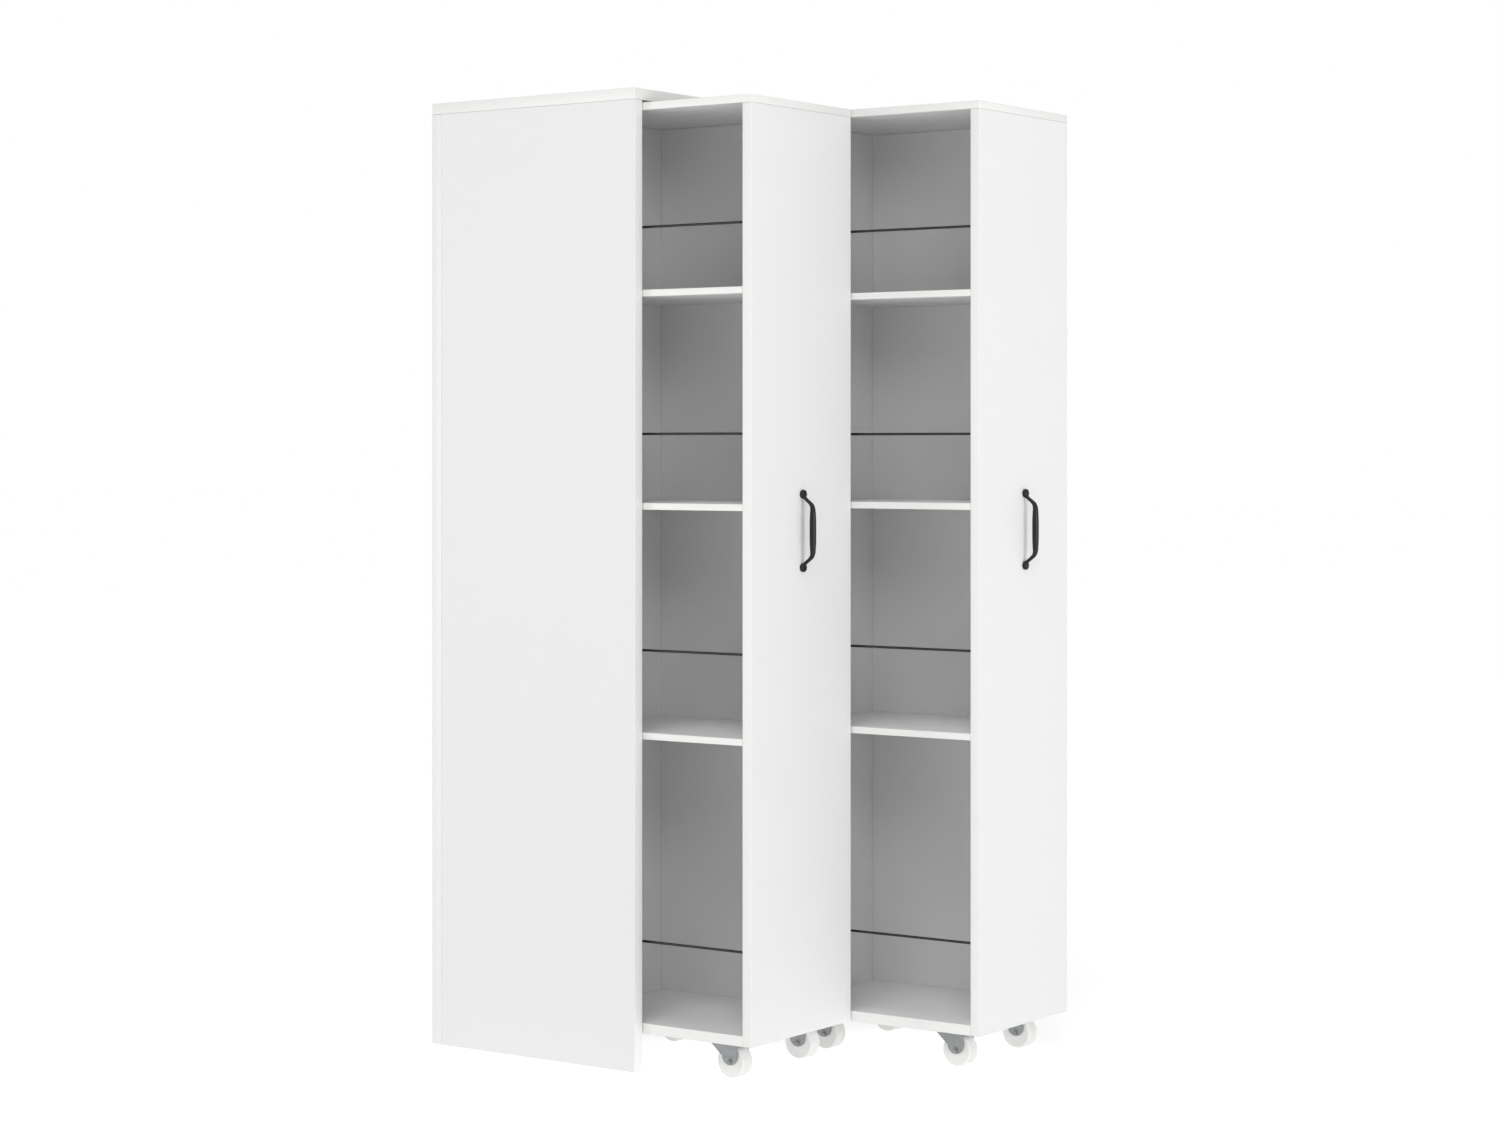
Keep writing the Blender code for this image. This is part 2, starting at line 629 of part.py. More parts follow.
def add_handle(prefix, shared, boards, tower):
    """The bow handle on the front panel, held by two screws from inside."""
    handle = add_object(f"{prefix}_handle", shared["handle"], BLACK_METAL, tower)
    handle.location = (TOWER_WIDTH / 2, 0, HANDLE_HEIGHT)
    holes = []
    for end, side in (("lower", -1), ("upper", 1)):
        z = HANDLE_HEIGHT + side * HANDLE_SPACING / 2
        screw = add_object(f"{prefix}_handle_screw_{end}", shared["handle_screw"], ZINC_STEEL, tower)
        screw.location = (TOWER_WIDTH / 2, 0, z)
        middle = Vector((TOWER_WIDTH / 2, TOWER_FRONT_T / 2, z))
        holes.append((middle, "Y", HANDLE_SCREW_DIAMETER + 2 * FIT_GAP, TOWER_FRONT_T + 2 * CUT_OVERRUN))
    drill(boards["front"], holes, SCREW_SHANK_SIDES, tower)


def caster_places():
    """The four casters: a short name, and the place of the wheel's middle across and along the tower."""
    left = CASTER_FROM_SIDE
    right = TOWER_WIDTH - CASTER_FROM_SIDE
    front = CASTER_FROM_FRONT
    rear = TOWER_DEPTH - CASTER_FROM_REAR
    return (("fl", left, front), ("fr", right, front), ("rl", left, rear), ("rr", right, rear))


def add_casters(prefix, shared, boards, tower):
    """Four fixed casters screwed under the bottom board, each with a wheel on its own axle bolt."""
    axle_z = -AXLE_DROP
    screw_holes = []
    for corner, x, y in caster_places():
        fork = add_object(f"{prefix}_caster_fork_{corner}", shared["fork"], ZINC_STEEL, tower)
        wheel = add_object(f"{prefix}_wheel_{corner}", shared["wheel"], WHEEL_PLASTIC, tower)
        axle = add_object(f"{prefix}_axle_{corner}", shared["axle"], ZINC_STEEL, tower)
        for piece in (fork, wheel, axle):
            piece.location = (x, y, axle_z)
        wheel.rotation_euler = (0, radians(90), 0)
        for dx, dy in plate_screw_places():
            mouth = (x + dx, y + dy, 0)
            screw_holes.append(hole_from(mouth, "Z", 1, CASTER_SCREW_DIAMETER, CASTER_SCREW_GRIP + FIT_GAP))
    drill(boards["bottom"], screw_holes, SCREW_SHANK_SIDES, tower)


def build_tower(number, pulled_out, shared):
    """One tower about its own left front lower corner, rolled out of the housing by pulled_out."""
    prefix = f"tower_{number}"
    left = -HOUSING_WIDTH / 2 + HOUSING_SIDE_T + SIDE_CLEARANCE + (number - 1) * (TOWER_WIDTH + TOWER_SPACING)
    tower = add_empty(f"{prefix}_origin", (left, HOUSING_FRONT_Y - pulled_out, CASTER_HEIGHT))
    boards = add_tower_boards(prefix, tower)
    shelves = add_shelves(prefix, tower)
    add_guard_rods(prefix, boards, tower)
    join_boards(boards, shelves, tower)
    add_handle(prefix, shared, boards, tower)
    add_casters(prefix, shared, boards, tower)


def build_all():
    shared = {
        "handle": handle_mesh(),
        "handle_screw": handle_screw_mesh(),
        "fork": fork_mesh(),
        "wheel": wheel_mesh(),
        "axle": axle_mesh(),
    }
    build_housing()
    for number, pulled_out in enumerate(PULLED_OUT, 1):
        build_tower(number, pulled_out, shared)


build_all()
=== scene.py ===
"""Rolling storage tower: finished surfaces, light and camera, as a Blender add-on that is run as a script.

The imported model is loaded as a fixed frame. Each of its pieces is stood for by a surface that is worked out
with numpy where the frame says. Units are metres, +Z is up, and -Y is the front, the way the towers roll
out.
"""
import json

import bmesh
import bpy
import numpy as np
from bpy.props import FloatProperty, FloatVectorProperty, PointerProperty
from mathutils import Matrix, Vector

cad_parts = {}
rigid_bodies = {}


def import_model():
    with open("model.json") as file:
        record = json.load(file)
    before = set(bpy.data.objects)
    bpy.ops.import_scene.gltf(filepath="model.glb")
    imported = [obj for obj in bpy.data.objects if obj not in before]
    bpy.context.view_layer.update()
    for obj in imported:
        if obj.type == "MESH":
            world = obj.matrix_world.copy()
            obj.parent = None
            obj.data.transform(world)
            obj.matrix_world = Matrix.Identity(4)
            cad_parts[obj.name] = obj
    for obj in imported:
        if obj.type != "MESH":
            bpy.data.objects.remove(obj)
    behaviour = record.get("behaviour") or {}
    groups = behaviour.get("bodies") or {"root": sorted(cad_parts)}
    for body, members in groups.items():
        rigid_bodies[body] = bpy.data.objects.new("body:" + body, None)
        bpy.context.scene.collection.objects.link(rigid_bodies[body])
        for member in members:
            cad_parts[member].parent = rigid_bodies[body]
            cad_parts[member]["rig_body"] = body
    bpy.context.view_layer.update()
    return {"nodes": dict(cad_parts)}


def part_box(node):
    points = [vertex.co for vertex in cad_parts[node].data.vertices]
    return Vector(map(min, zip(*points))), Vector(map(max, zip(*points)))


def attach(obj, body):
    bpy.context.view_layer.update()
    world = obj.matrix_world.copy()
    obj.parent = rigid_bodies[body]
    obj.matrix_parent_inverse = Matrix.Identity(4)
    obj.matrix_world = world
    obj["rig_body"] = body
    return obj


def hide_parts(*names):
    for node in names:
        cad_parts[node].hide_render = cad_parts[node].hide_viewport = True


bl_info = {
    "name": "Rolling Storage Tower",
    "version": (1, 0, 0),
    "blender": (4, 5, 0),
    "location": "View3D > Sidebar > Storage Tower",
    "description": "Finishes the boards, guard rods, handles and casters of a rolling storage tower",
    "category": "Object",
}

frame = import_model()

MM = 0.001
TOWERS = ("tower_1", "tower_2")
CASTER_CORNERS = ("fl", "fr", "rl", "rr")
ROD_NUMBERS = (1, 2, 3, 4)

# The boards, with how far their hidden dowels stand out past a board's low and high corner. A board's
# surface leaves its dowels out
HOUSING_DOWEL = 14 * MM
TOWER_DOWEL = 10 * MM
NO_DOWELS = ((0, 0, 0), (0, 0, 0))
REAR_AND_UPPER_DOWELS = ((0, 0, 0), (0, HOUSING_DOWEL, HOUSING_DOWEL))
FRONT_AND_REAR_DOWELS = ((0, TOWER_DOWEL, 0), (0, TOWER_DOWEL, 0))
UPPER_DOWELS = ((0, 0, 0), (0, 0, TOWER_DOWEL))
HOUSING_BOARDS = {
    "left_panel": REAR_AND_UPPER_DOWELS,
    "right_panel": REAR_AND_UPPER_DOWELS,
    "top_board": NO_DOWELS,
    "back_panel": NO_DOWELS,
}
TOWER_BOARDS = {
    "top_board": NO_DOWELS,
    "bottom_board": FRONT_AND_REAR_DOWELS,
    "front_panel": UPPER_DOWELS,
    "rear_panel": UPPER_DOWELS,
    "side_panel": FRONT_AND_REAR_DOWELS,
    "shelf_1": FRONT_AND_REAR_DOWELS,
    "shelf_2": FRONT_AND_REAR_DOWELS,
    "shelf_3": FRONT_AND_REAR_DOWELS,
}

# The least radius of a corner that is drawn in, the angle past which an edge shows sharp, and how finely
# the round shapes are drawn
SMALLEST_RADIUS = 0.05 * MM
SHARP_DEGREES = 38
EDGE_STEPS = 4
CORNER_STEPS = 4
WHEEL_SIDES = 96
ROD_SIDES = 24
BAR_SIDES = 32
FOOT_SIDES = 48
SCREW_SIDES = 40
AXLE_SIDES = 48
PATH_STEPS = 8
CHEEK_ROWS = 40
CHEEK_COLUMNS = 24

# A turned or round shape lies along one axis: which of its across, up and along values go to X, Y and Z
AXIS_ORDER = {"X": (2, 0, 1), "Y": (0, 2, 1), "Z": (0, 1, 2)}

# The joint between a board's face and its edge strip, from the face outwards, as shares of its groove
GROOVE_INSET_SHARES = np.array([3, 1, 0.5, 0])
GROOVE_DEPTH_SHARES = np.array([0, 0, 1, 0])

# The bow handle's middle line from a foot to near the bar's middle: how far out as shares of the bar's
# standoff, how high as shares of half the distance between the feet, and how thick as shares of the bar
BOW_OUT_SHARES = np.array([0.12, 0.22, 0.40, 0.66, 0.91, 0.995, 1, 1])
BOW_HEIGHT_SHARES = np.array([0.952, 0.905, 0.853, 0.782, 0.69, 0.575, 0.43, 0.22])
BOW_THICKNESS_SHARES = np.array([0.62, 0.57, 0.53, 0.55, 0.67, 0.81, 0.92, 0.99])
FOOT_CHAMFER = 0.4 * MM
FOOT_FLAT_SHARE = 0.3

# A screw's pan head and the plus-shaped recess in it, as shares of the head's radius and height
HEAD_RIM_SHARE = 0.45
HEAD_TOP_SHARE = 0.58
RECESS_EDGE_SHARE = 0.55
RECESS_LENGTH_SHARE = 0.48
RECESS_WIDTH_SHARE = 0.13
RECESS_TAPER_SHARE = 0.7
RECESS_FLOOR_SHARE = 0.35
HANDLE_SCREW_HEAD = 2.5 * MM
HANDLE_SCREW_SHANK = 2 * MM
SHANK_OVERLAP = 0.1 * MM
PLATE_SCREW_HEAD = 2.2 * MM
PLATE_SCREW_RADIUS = 3.5 * MM

# A caster's pressed fork: the gap between its plate and the bottom board, the rounding of the plate's edge,
# the bend from a cheek into the plate, and how far the cheek's lowest slice is above its lobe's lowest point
PLATE_GAP = 0.3 * MM
PLATE_EDGE = 0.5 * MM
PLATE_BEND = 1.6 * MM
LOBE_TIP = 0.02 * MM

# The cheek's cut edge: its rounding, and the most that this takes of the cheek's width. Four points go round
# it from the outer face to the inner one. Each is in from the outline and from the nearer face by a share of
# the rounding, and lies on one side of the sheet's middle
CHEEK_EDGE = 0.7 * MM
CHEEK_EDGE_SHARE = 0.4
OUTLINE_INSET_SHARES = np.array([0.3, 0, 0, 0.3])
FACE_INSET_SHARES = np.array([0.3, 1, 1, 0.3])
FACE_SIDES = np.array([1, 1, -1, -1])

# The cheek's pressed step: the height of its slope, how much its line rises at a lobe's radius from the axle,
# and how many times that it rises at most
STEP_LENGTH = 1.8 * MM
STEP_RISE = 2.8 * MM
STEP_RISE_LIMIT = 2

# A wheel's section: the tread's parting line as (depth, distance from the middle), the rim of its side's
# shallow dish as (distance in from the shoulder, depth), and the hub and bore as (radius, depth)
PARTING_LINE = ((0.12 * MM, 0.1 * MM), (0, 0.35 * MM))
DISH_RIM = ((0.8 * MM, 0.04 * MM), (1.6 * MM, 0.12 * MM))
WHEEL_HUB = ((10.2 * MM, 0.5 * MM), (9.4 * MM, 0.4 * MM), (8.8 * MM, 0), (3.9 * MM, 0), (3.3 * MM, 0.5 * MM))
# How far in from the tread's radius the wheel's band of painted shade and rolled dulling reaches
TREAD_SHADE_DEPTH = 1.2 * MM

# Each end of an axle bolt, as (radius, distance in from the end): a washer, the riveted head and its dimple
AXLE_END = (
    (3.0 * MM, 3.5 * MM),
    (5.2 * MM, 3.5 * MM),
    (5.5 * MM, 3.2 * MM),
    (5.5 * MM, 2.6 * MM),
    (5.2 * MM, 2.3 * MM),
    (4.1 * MM, 2.3 * MM),
    (4.0 * MM, 1.2 * MM),
    (3.7 * MM, 0.5 * MM),
    (3.0 * MM, 0),
    (2.2 * MM, 0),
    (1.7 * MM, 0.4 * MM),
    (1.3 * MM, 1.1 * MM),
    (0.4 * MM, 1.3 * MM),
)

# The stage: each softbox's place, the point that it faces, and its width and height, and for the high light
# where it comes from and how wide it looks
SOFTBOXES = {
    "front": ((-1.2, -9.0, 1.8), (0, -0.3, 1.0), (3.6, 3.2)),
    "side": ((-4.6, 3.1, 1.5), (-0.3, -0.1, 1.0), (2.4, 3.0)),
    "fill": ((-3.5, -3.05, 3.2), (0, -0.3, 1.65), (1.5, 1.5)),
}
HIGH_LIGHT_FROM = (-0.53, -0.19, 0.83)
HIGH_LIGHT_WIDTH_DEGREES = 30
FLOOR_REACH = 60
SENSOR_WIDTH_MM = 36
FARTHEST_SEEN = 200


def linear(code):
    """A colour's linear red, green and blue from its six-figure sRGB code."""
    srgb = np.array([int(code[index : index + 2], 16) for index in (0, 2, 4)]) / 255
    value = np.where(srgb <= 0.04045, srgb / 12.92, ((srgb + 0.055) / 1.055) ** 2.4)
    return tuple(float(part) for part in value)


def colour_property(name, description, code):
    """A colour that a user can change, from its sRGB code."""
    return FloatVectorProperty(
        name=name, description=description, default=linear(code), subtype="COLOR", size=3, min=0, max=1
    )


def length_property(name, description, default):
    """A length that a user can change."""
    return FloatProperty(
        name=name, description=description, default=default, min=0, unit="LENGTH", precision=4
    )


def light_property(name, description, default, unit="NONE"):
    """An amount of light that a user can change."""
    return FloatProperty(name=name, description=description, default=default, min=0, unit=unit)


class BoardLooks(bpy.types.PropertyGroup):
    """Sizes and colours of the coated boards and their edge strips."""

    band_thickness: length_property("Edge strip", "Thickness of the strip glued round each board", 1.0 * MM)
    edge_rounding: length_property("Edge rounding", "Radius that the strip's edges are scraped to", 0.6 * MM)
    corner_rounding: length_property("Corner rounding", "Radius of a board's corners on its face", 1.0 * MM)
    joint_groove: length_property("Joint groove", "Width and depth of the line by the strip", 0.12 * MM)
    face_colour: colour_property("Face", "Colour of the coated faces", "E3E3E3")
    band_colour: colour_property("Strip", "Colour of the plastic edge strip", "E5E5E3")


class RodLooks(bpy.types.PropertyGroup):
    """Rounding and colour of the guard rods."""

    end_rounding: length_property("End rounding", "Radius of a rod's cut ends", 0.6 * MM)
    colour: colour_property("Lacquer", "Colour of the lacquered wire", "121213")


class HandleLooks(bpy.types.PropertyGroup):
    """Sizes and colour of the cast bow handles."""

    bar_diameter: length_property("Bar diameter", "Thickness of the bar at its middle", 13 * MM)
    foot_diameter: length_property("Foot diameter", "Width of the round feet", 17 * MM)
    foot_height: length_property("Foot height", "How far a foot stands out from the panel", 7 * MM)
    foot_rounding: length_property("Foot rounding", "Radius of a foot's outer edge", 3 * MM)
    colour: colour_property("Powder coat", "Colour of the handle", "0C0D0E")


class CasterLooks(bpy.types.PropertyGroup):
    """Sizes of the pressed forks and the wheels, and colours of the wheels and of all plated steel."""

    sheet: length_property("Sheet", "Thickness of the fork's steel sheet", 2.0 * MM)
    step_depth: length_property("Pressed step", "How far the cheek's upper part is pressed out", 1.5 * MM)
    step_height: length_property("Step height", "Height of the step above the axle, at its lowest", 8.6 * MM)
    lobe_radius: length_property("Lobe radius", "Radius of the cheek's round lower end", 18 * MM)
    lobe_rise: length_property("Lobe rise", "Height of the lobe's centre above the axle", 11.5 * MM)
    front_reach: length_property("Front reach", "How far the cheek's top is in front of the axle", 19.5 * MM)
    rear_reach: length_property("Rear reach", "How far the cheek's top is behind the axle", 50 * MM)
    side_play: length_property("Side play", "Room between the wheel and each cheek", 0.8 * MM)
    screw_edge: length_property("Screw edge", "How far the plate's screws are from its edges", 8 * MM)
    plate_corner: length_property("Plate corner", "Radius of the mounting plate's corners", 5 * MM)
    tread_rounding: length_property("Tread rounding", "Radius between the wheel's side and tread", 3.5 * MM)
    zinc_colour: colour_property("Zinc", "Colour of the plated steel", "989A9B")
    wheel_colour: colour_property("Wheel", "Colour of the moulded wheels", "E6E6E4")


class StageLooks(bpy.types.PropertyGroup):
    """Camera, floor and studio light."""

    camera_place: FloatVectorProperty(
        name="Camera place",
        description="Where the camera stands",
        default=(-5.1777, -3.6384, 1.2070),
        subtype="TRANSLATION",
        size=3,
        unit="LENGTH",
    )
    camera_turn: FloatProperty(
        name="Camera turn",
        description="How far the level camera is turned from looking straight back",
        default=float(np.radians(-54.737)),
        subtype="ANGLE",
        unit="ROTATION",
    )
    camera_lens: FloatProperty(
        name="Lens", description="Focal length on a 36 mm sensor", default=75.354, min=1, unit="CAMERA"
    )
    camera_shift: FloatProperty(
        name="Shift",
        description="How far the picture is shifted up, as a share of its width",
        default=-0.07765,
    )
    floor_colour: colour_property("Floor", "Colour of the studio floor", "B4B4B4")
    floor_glow: light_property("Floor glow", "Strength of the light from below the floor sheet", 0.76)
    front_power: light_property("Front light", "Power of the front softbox", 280, "POWER")
    side_power: light_property("Side light", "Power of the side softbox", 46, "POWER")
    fill_power: light_property("Fill light", "Power of the high left softbox", 38, "POWER")
    high_strength: light_property("High light", "Strength of the wide light from high on the left", 0.91)
    sky_strength: light_property("Room light", "Strength of the light from all round", 0.28)


LOOKS = {
    "board_looks": BoardLooks,
    "rod_looks": RodLooks,
    "handle_looks": HandleLooks,
    "caster_looks": CasterLooks,
    "stage_looks": StageLooks,
}


def add_node(tree, kind, settings=None, inputs=None):
    """Add a node of a kind to a tree. An input given a socket is linked to it, and any other is set."""
    node = tree.nodes.new(kind)
    for name, value in (settings or {}).items():
        setattr(node, name, value)
    for name, value in (inputs or {}).items():
        if isinstance(value, bpy.types.NodeSocket):
            tree.links.new(value, node.inputs[name])
        else:
            node.inputs[name].default_value = value
    return node


def shade(tree, share, low, high):
    """A colour or a number that goes from low to high as the share goes from 0 to 1."""
    if isinstance(low, tuple):
        mix = add_node(tree, "ShaderNodeMix", {"data_type": "RGBA"}, {0: share, 6: (*low, 1), 7: (*high, 1)})
        return mix.outputs[2]
    spread = add_node(tree, "ShaderNodeMapRange", inputs={"Value": share, "To Min": low, "To Max": high})
    return spread.outputs["Result"]


def scaled(colour, share):
    """A colour made darker by a share below one, or lighter by a share above one."""
    return tuple(part * share for part in colour)


def finish(name, pattern, looks):
    """The material of that name. On its first use it gets a shader, which the pattern function then colours
    and roughens by the piece's own coordinates."""
    material = bpy.data.materials.get(name)
    if material is None:
        material = bpy.data.materials.new(name)
        material.use_nodes = True
        tree = material.node_tree
        tree.nodes.clear()
        shader = add_node(tree, "ShaderNodeBsdfPrincipled")
        add_node(tree, "ShaderNodeOutputMaterial", inputs={"Surface": shader.outputs["BSDF"]})
        place = add_node(tree, "ShaderNodeTexCoord").outputs["Object"]
        pattern(tree, shader, place, looks)
    return material


def coated_board_face(tree, shader, place, looks):
    """White melamine-faced chipboard: resin paper pressed between fine-grained steel sheets, so an even satin
    white whose pearl grain breaks the gloss, with a faint unevenness where the chips show through."""
    colour = tuple(looks.face_colour)
    # The real pearl grain is 0.4 mm across. It is drawn at 1.1 mm, which just shows from arm's length
    pearl = add_node(
        tree,
        "ShaderNodeTexNoise",
        inputs={"Vector": place, "Scale": 1 / (1.1 * MM), "Detail": 3, "Roughness": 0.6},
    )
    # The chips under the paper are 8 to 20 mm long
    chips = add_node(
        tree,
        "ShaderNodeTexNoise",
        inputs={"Vector": place, "Scale": 1 / (14 * MM), "Detail": 4, "Roughness": 0.55},
    )
    # Wiping and handling leave gloss patches the size of a hand
    handling = add_node(
        tree,
        "ShaderNodeTexNoise",
        inputs={"Vector": place, "Scale": 1 / (130 * MM), "Detail": 5, "Roughness": 0.6, "Distortion": 0.6},
    )
    tint = shade(tree, handling.outputs["Fac"], scaled(colour, 0.985), colour)
    tree.links.new(tint, shader.inputs["Base Color"])
    gloss = shade(tree, handling.outputs["Fac"], 0.48, 0.60)
    tree.links.new(gloss, shader.inputs["Roughness"])
    shader.inputs["IOR"].default_value = 1.53
    waves = add_node(
        tree,
        "ShaderNodeBump",
        inputs={"Strength": 0.25, "Distance": 0.06 * MM, "Height": chips.outputs["Fac"]},
    )
    grain = add_node(
        tree,
        "ShaderNodeBump",
        inputs={
            "Strength": 0.35,
            "Distance": 0.03 * MM,
            "Height": pearl.outputs["Fac"],
            "Normal": waves.outputs["Normal"],
        },
    )
    tree.links.new(grain.outputs["Normal"], shader.inputs["Normal"])


def plastic_edge_strip(tree, shader, place, looks):
    """White ABS edge strip: extruded, glued and scraped flush, so a touch smoother and warmer than the faces,
    with faint chatter from the scraper along it."""
    colour = tuple(looks.band_colour)
    # The scraper leaves ripples 3 mm apart
    chatter = add_node(
        tree,
        "ShaderNodeTexNoise",
        inputs={"Vector": place, "Scale": 1 / (3 * MM), "Detail": 2, "Roughness": 0.5},
    )
    tint = shade(tree, chatter.outputs["Fac"], scaled(colour, 0.985), colour)
    tree.links.new(tint, shader.inputs["Base Color"])
    gloss = shade(tree, chatter.outputs["Fac"], 0.30, 0.42)
    tree.links.new(gloss, shader.inputs["Roughness"])
    shader.inputs["IOR"].default_value = 1.52
    ripple = add_node(
        tree,
        "ShaderNodeBump",
        inputs={"Strength": 0.3, "Distance": 0.02 * MM, "Height": chatter.outputs["Fac"]},
    )
    tree.links.new(ripple.outputs["Normal"], shader.inputs["Normal"])


def black_powder_coat(tree, shader, place, looks):
    """Polyester powder coat baked on die-cast zinc: near black, satin, with a soft orange-peel skin that
    hands have rubbed a little paler on the bar."""
    colour = tuple(looks.colour)
    # Orange peel is 0.7 to 1.5 mm from crest to crest
    peel = add_node(
        tree,
        "ShaderNodeTexNoise",
        inputs={"Vector": place, "Scale": 1 / (1.2 * MM), "Detail": 2, "Roughness": 0.5},
    )
    # Fingertips leave patches about 22 mm across
    touch = add_node(
        tree,
        "ShaderNodeTexNoise",
        inputs={"Vector": place, "Scale": 1 / (22 * MM), "Detail": 4, "Roughness": 0.6},
    )
    # On the handle this mask holds only real wear
    rubbed = add_node(tree, "ShaderNodeAttribute", {"attribute_name": "wear"}).outputs["Fac"]
    amount = add_node(
        tree,
        "ShaderNodeMath",
        {"operation": "MULTIPLY"},
        {0: rubbed, 1: touch.outputs["Fac"]},
    )
    tint = shade(tree, amount.outputs["Value"], colour, scaled(colour, 1.9))
    tree.links.new(tint, shader.inputs["Base Color"])
    gloss = shade(tree, touch.outputs["Fac"], 0.46, 0.34)
    tree.links.new(gloss, shader.inputs["Roughness"])
    shader.inputs["IOR"].default_value = 1.42
    skin = add_node(
        tree,
        "ShaderNodeBump",
        inputs={"Strength": 0.4, "Distance": 0.08 * MM, "Height": peel.outputs["Fac"]},
    )
    tree.links.new(skin.outputs["Normal"], shader.inputs["Normal"])


def black_lacquered_wire(tree, shader, place, looks):
    """Drawn steel wire dipped in black lacquer: glossier than the handles, with faint runs along the wire."""
    colour = tuple(looks.colour)
    # The drawing die's lines are 0.5 mm apart across the wire and 60 mm long
    along = add_node(
        tree,
        "ShaderNodeMapping",
        inputs={"Vector": place, "Scale": (1 / (0.5 * MM), 1 / (60 * MM), 1 / (0.5 * MM))},
    )
    lines = add_node(
        tree,
        "ShaderNodeTexNoise",
        inputs={"Vector": along.outputs["Vector"], "Scale": 1, "Detail": 3, "Roughness": 0.5},
    )
    tint = shade(tree, lines.outputs["Fac"], colour, scaled(colour, 1.3))
    tree.links.new(tint, shader.inputs["Base Color"])
    gloss = shade(tree, lines.outputs["Fac"], 0.28, 0.40)
    tree.links.new(gloss, shader.inputs["Roughness"])
    drawn = add_node(
        tree,
        "ShaderNodeBump",
        inputs={"Strength": 0.2, "Distance": 0.03 * MM, "Height": lines.outputs["Fac"]},
    )
    tree.links.new(drawn.outputs["Normal"], shader.inputs["Normal"])


def zinc_plated_sheet(tree, shader, place, looks):
    """Blue-passivated zinc plating on pressed steel sheet: an even grey metal with a fine rolled grain and
    faint cloudy stains from the passivating bath."""
    colour = tuple(looks.zinc_colour)
    # Stains from the bath are 9 mm across, and the sheet's grain 0.6 mm
    stains = add_node(
        tree,
        "ShaderNodeTexNoise",
        inputs={"Vector": place, "Scale": 1 / (9 * MM), "Detail": 5, "Roughness": 0.6},
    )
    rolled = add_node(
        tree,
        "ShaderNodeTexNoise",
        inputs={"Vector": place, "Scale": 1 / (0.6 * MM), "Detail": 2, "Roughness": 0.6},
    )
    tint = shade(tree, stains.outputs["Fac"], scaled(colour, 0.80), scaled(colour, 1.12))
    tree.links.new(tint, shader.inputs["Base Color"])
    shader.inputs["Metallic"].default_value = 1
    gloss = shade(tree, stains.outputs["Fac"], 0.52, 0.40)
    tree.links.new(gloss, shader.inputs["Roughness"])
    grain = add_node(
        tree,
        "ShaderNodeBump",
        inputs={"Strength": 0.25, "Distance": 0.03 * MM, "Height": rolled.outputs["Fac"]},
    )
    tree.links.new(grain.outputs["Normal"], shader.inputs["Normal"])


def zinc_plated_bolt(tree, shader, place, looks):
    """Bright zinc plating on a cold-headed bolt or screw: smoother than the sheet, with dull specks."""
    colour = scaled(tuple(looks.zinc_colour), 1.1)
    # Specks of grime are 2 mm across
    grime = add_node(
        tree,
        "ShaderNodeTexNoise",
        inputs={"Vector": place, "Scale": 1 / (2 * MM), "Detail": 3, "Roughness": 0.6},
    )
    tint = shade(tree, grime.outputs["Fac"], scaled(colour, 0.75), colour)
    tree.links.new(tint, shader.inputs["Base Color"])
    shader.inputs["Metallic"].default_value = 1
    gloss = shade(tree, grime.outputs["Fac"], 0.42, 0.28)
    tree.links.new(gloss, shader.inputs["Roughness"])
    headed = add_node(
        tree,
        "ShaderNodeBump",
        inputs={"Strength": 0.2, "Distance": 0.04 * MM, "Height": grime.outputs["Fac"]},
    )
    tree.links.new(headed.outputs["Normal"], shader.inputs["Normal"])


def moulded_wheel_plastic(tree, shader, place, looks):
    """White polyamide, injection moulded: a pale satin side, and a tread with painted shade, darker in
    mottled patches, that rolling has also dulled to a rougher gloss.
    """
    colour = tuple(looks.wheel_colour)
    tread_shade = add_node(tree, "ShaderNodeAttribute", {"attribute_name": "wear"}).outputs["Fac"]
    # Scuffs from the floor are 4 mm across, and they also mottle the tread's painted shade
    scuffs = add_node(
        tree,
        "ShaderNodeTexNoise",
        inputs={"Vector": place, "Scale": 1 / (4 * MM), "Detail": 5, "Roughness": 0.65},
    )
    amount = add_node(
        tree,
        "ShaderNodeMath",
        {"operation": "MULTIPLY"},
        {0: tread_shade, 1: scuffs.outputs["Fac"]},
    )
    # The tread's painted shade: up to 14 % darker across its band, mottled by the scuffs
    tint = shade(tree, amount.outputs["Value"], colour, scaled(colour, 0.86))
    tree.links.new(tint, shader.inputs["Base Color"])
    gloss = shade(tree, amount.outputs["Value"], 0.34, 0.62)
    tree.links.new(gloss, shader.inputs["Roughness"])
    shader.inputs["IOR"].default_value = 1.53
    texture = add_node(
        tree,
        "ShaderNodeBump",
        inputs={"Strength": 0.2, "Distance": 0.05 * MM, "Height": scuffs.outputs["Fac"]},
    )
    tree.links.new(texture.outputs["Normal"], shader.inputs["Normal"])


def opal_floor_sheet(tree, shader, place, looks):
    """Opal acrylic sheet lit from below, as on a product table: matt white, so shadows on it stay pale."""
    colour = tuple(looks.floor_colour)
    # The sheet's cast is cloudy over a metre or so
    cloud = add_node(tree, "ShaderNodeTexNoise", inputs={"Vector": place, "Scale": 0.8, "Detail": 2})
    tint = shade(tree, cloud.outputs["Fac"], scaled(colour, 0.995), colour)
    tree.links.new(tint, shader.inputs["Base Color"])
    shader.inputs["Roughness"].default_value = 0.9
    shader.inputs["Specular IOR Level"].default_value = 0.1
    shader.inputs["Emission Color"].default_value = (1, 1, 1, 1)
    shader.inputs["Emission Strength"].default_value = looks.floor_glow


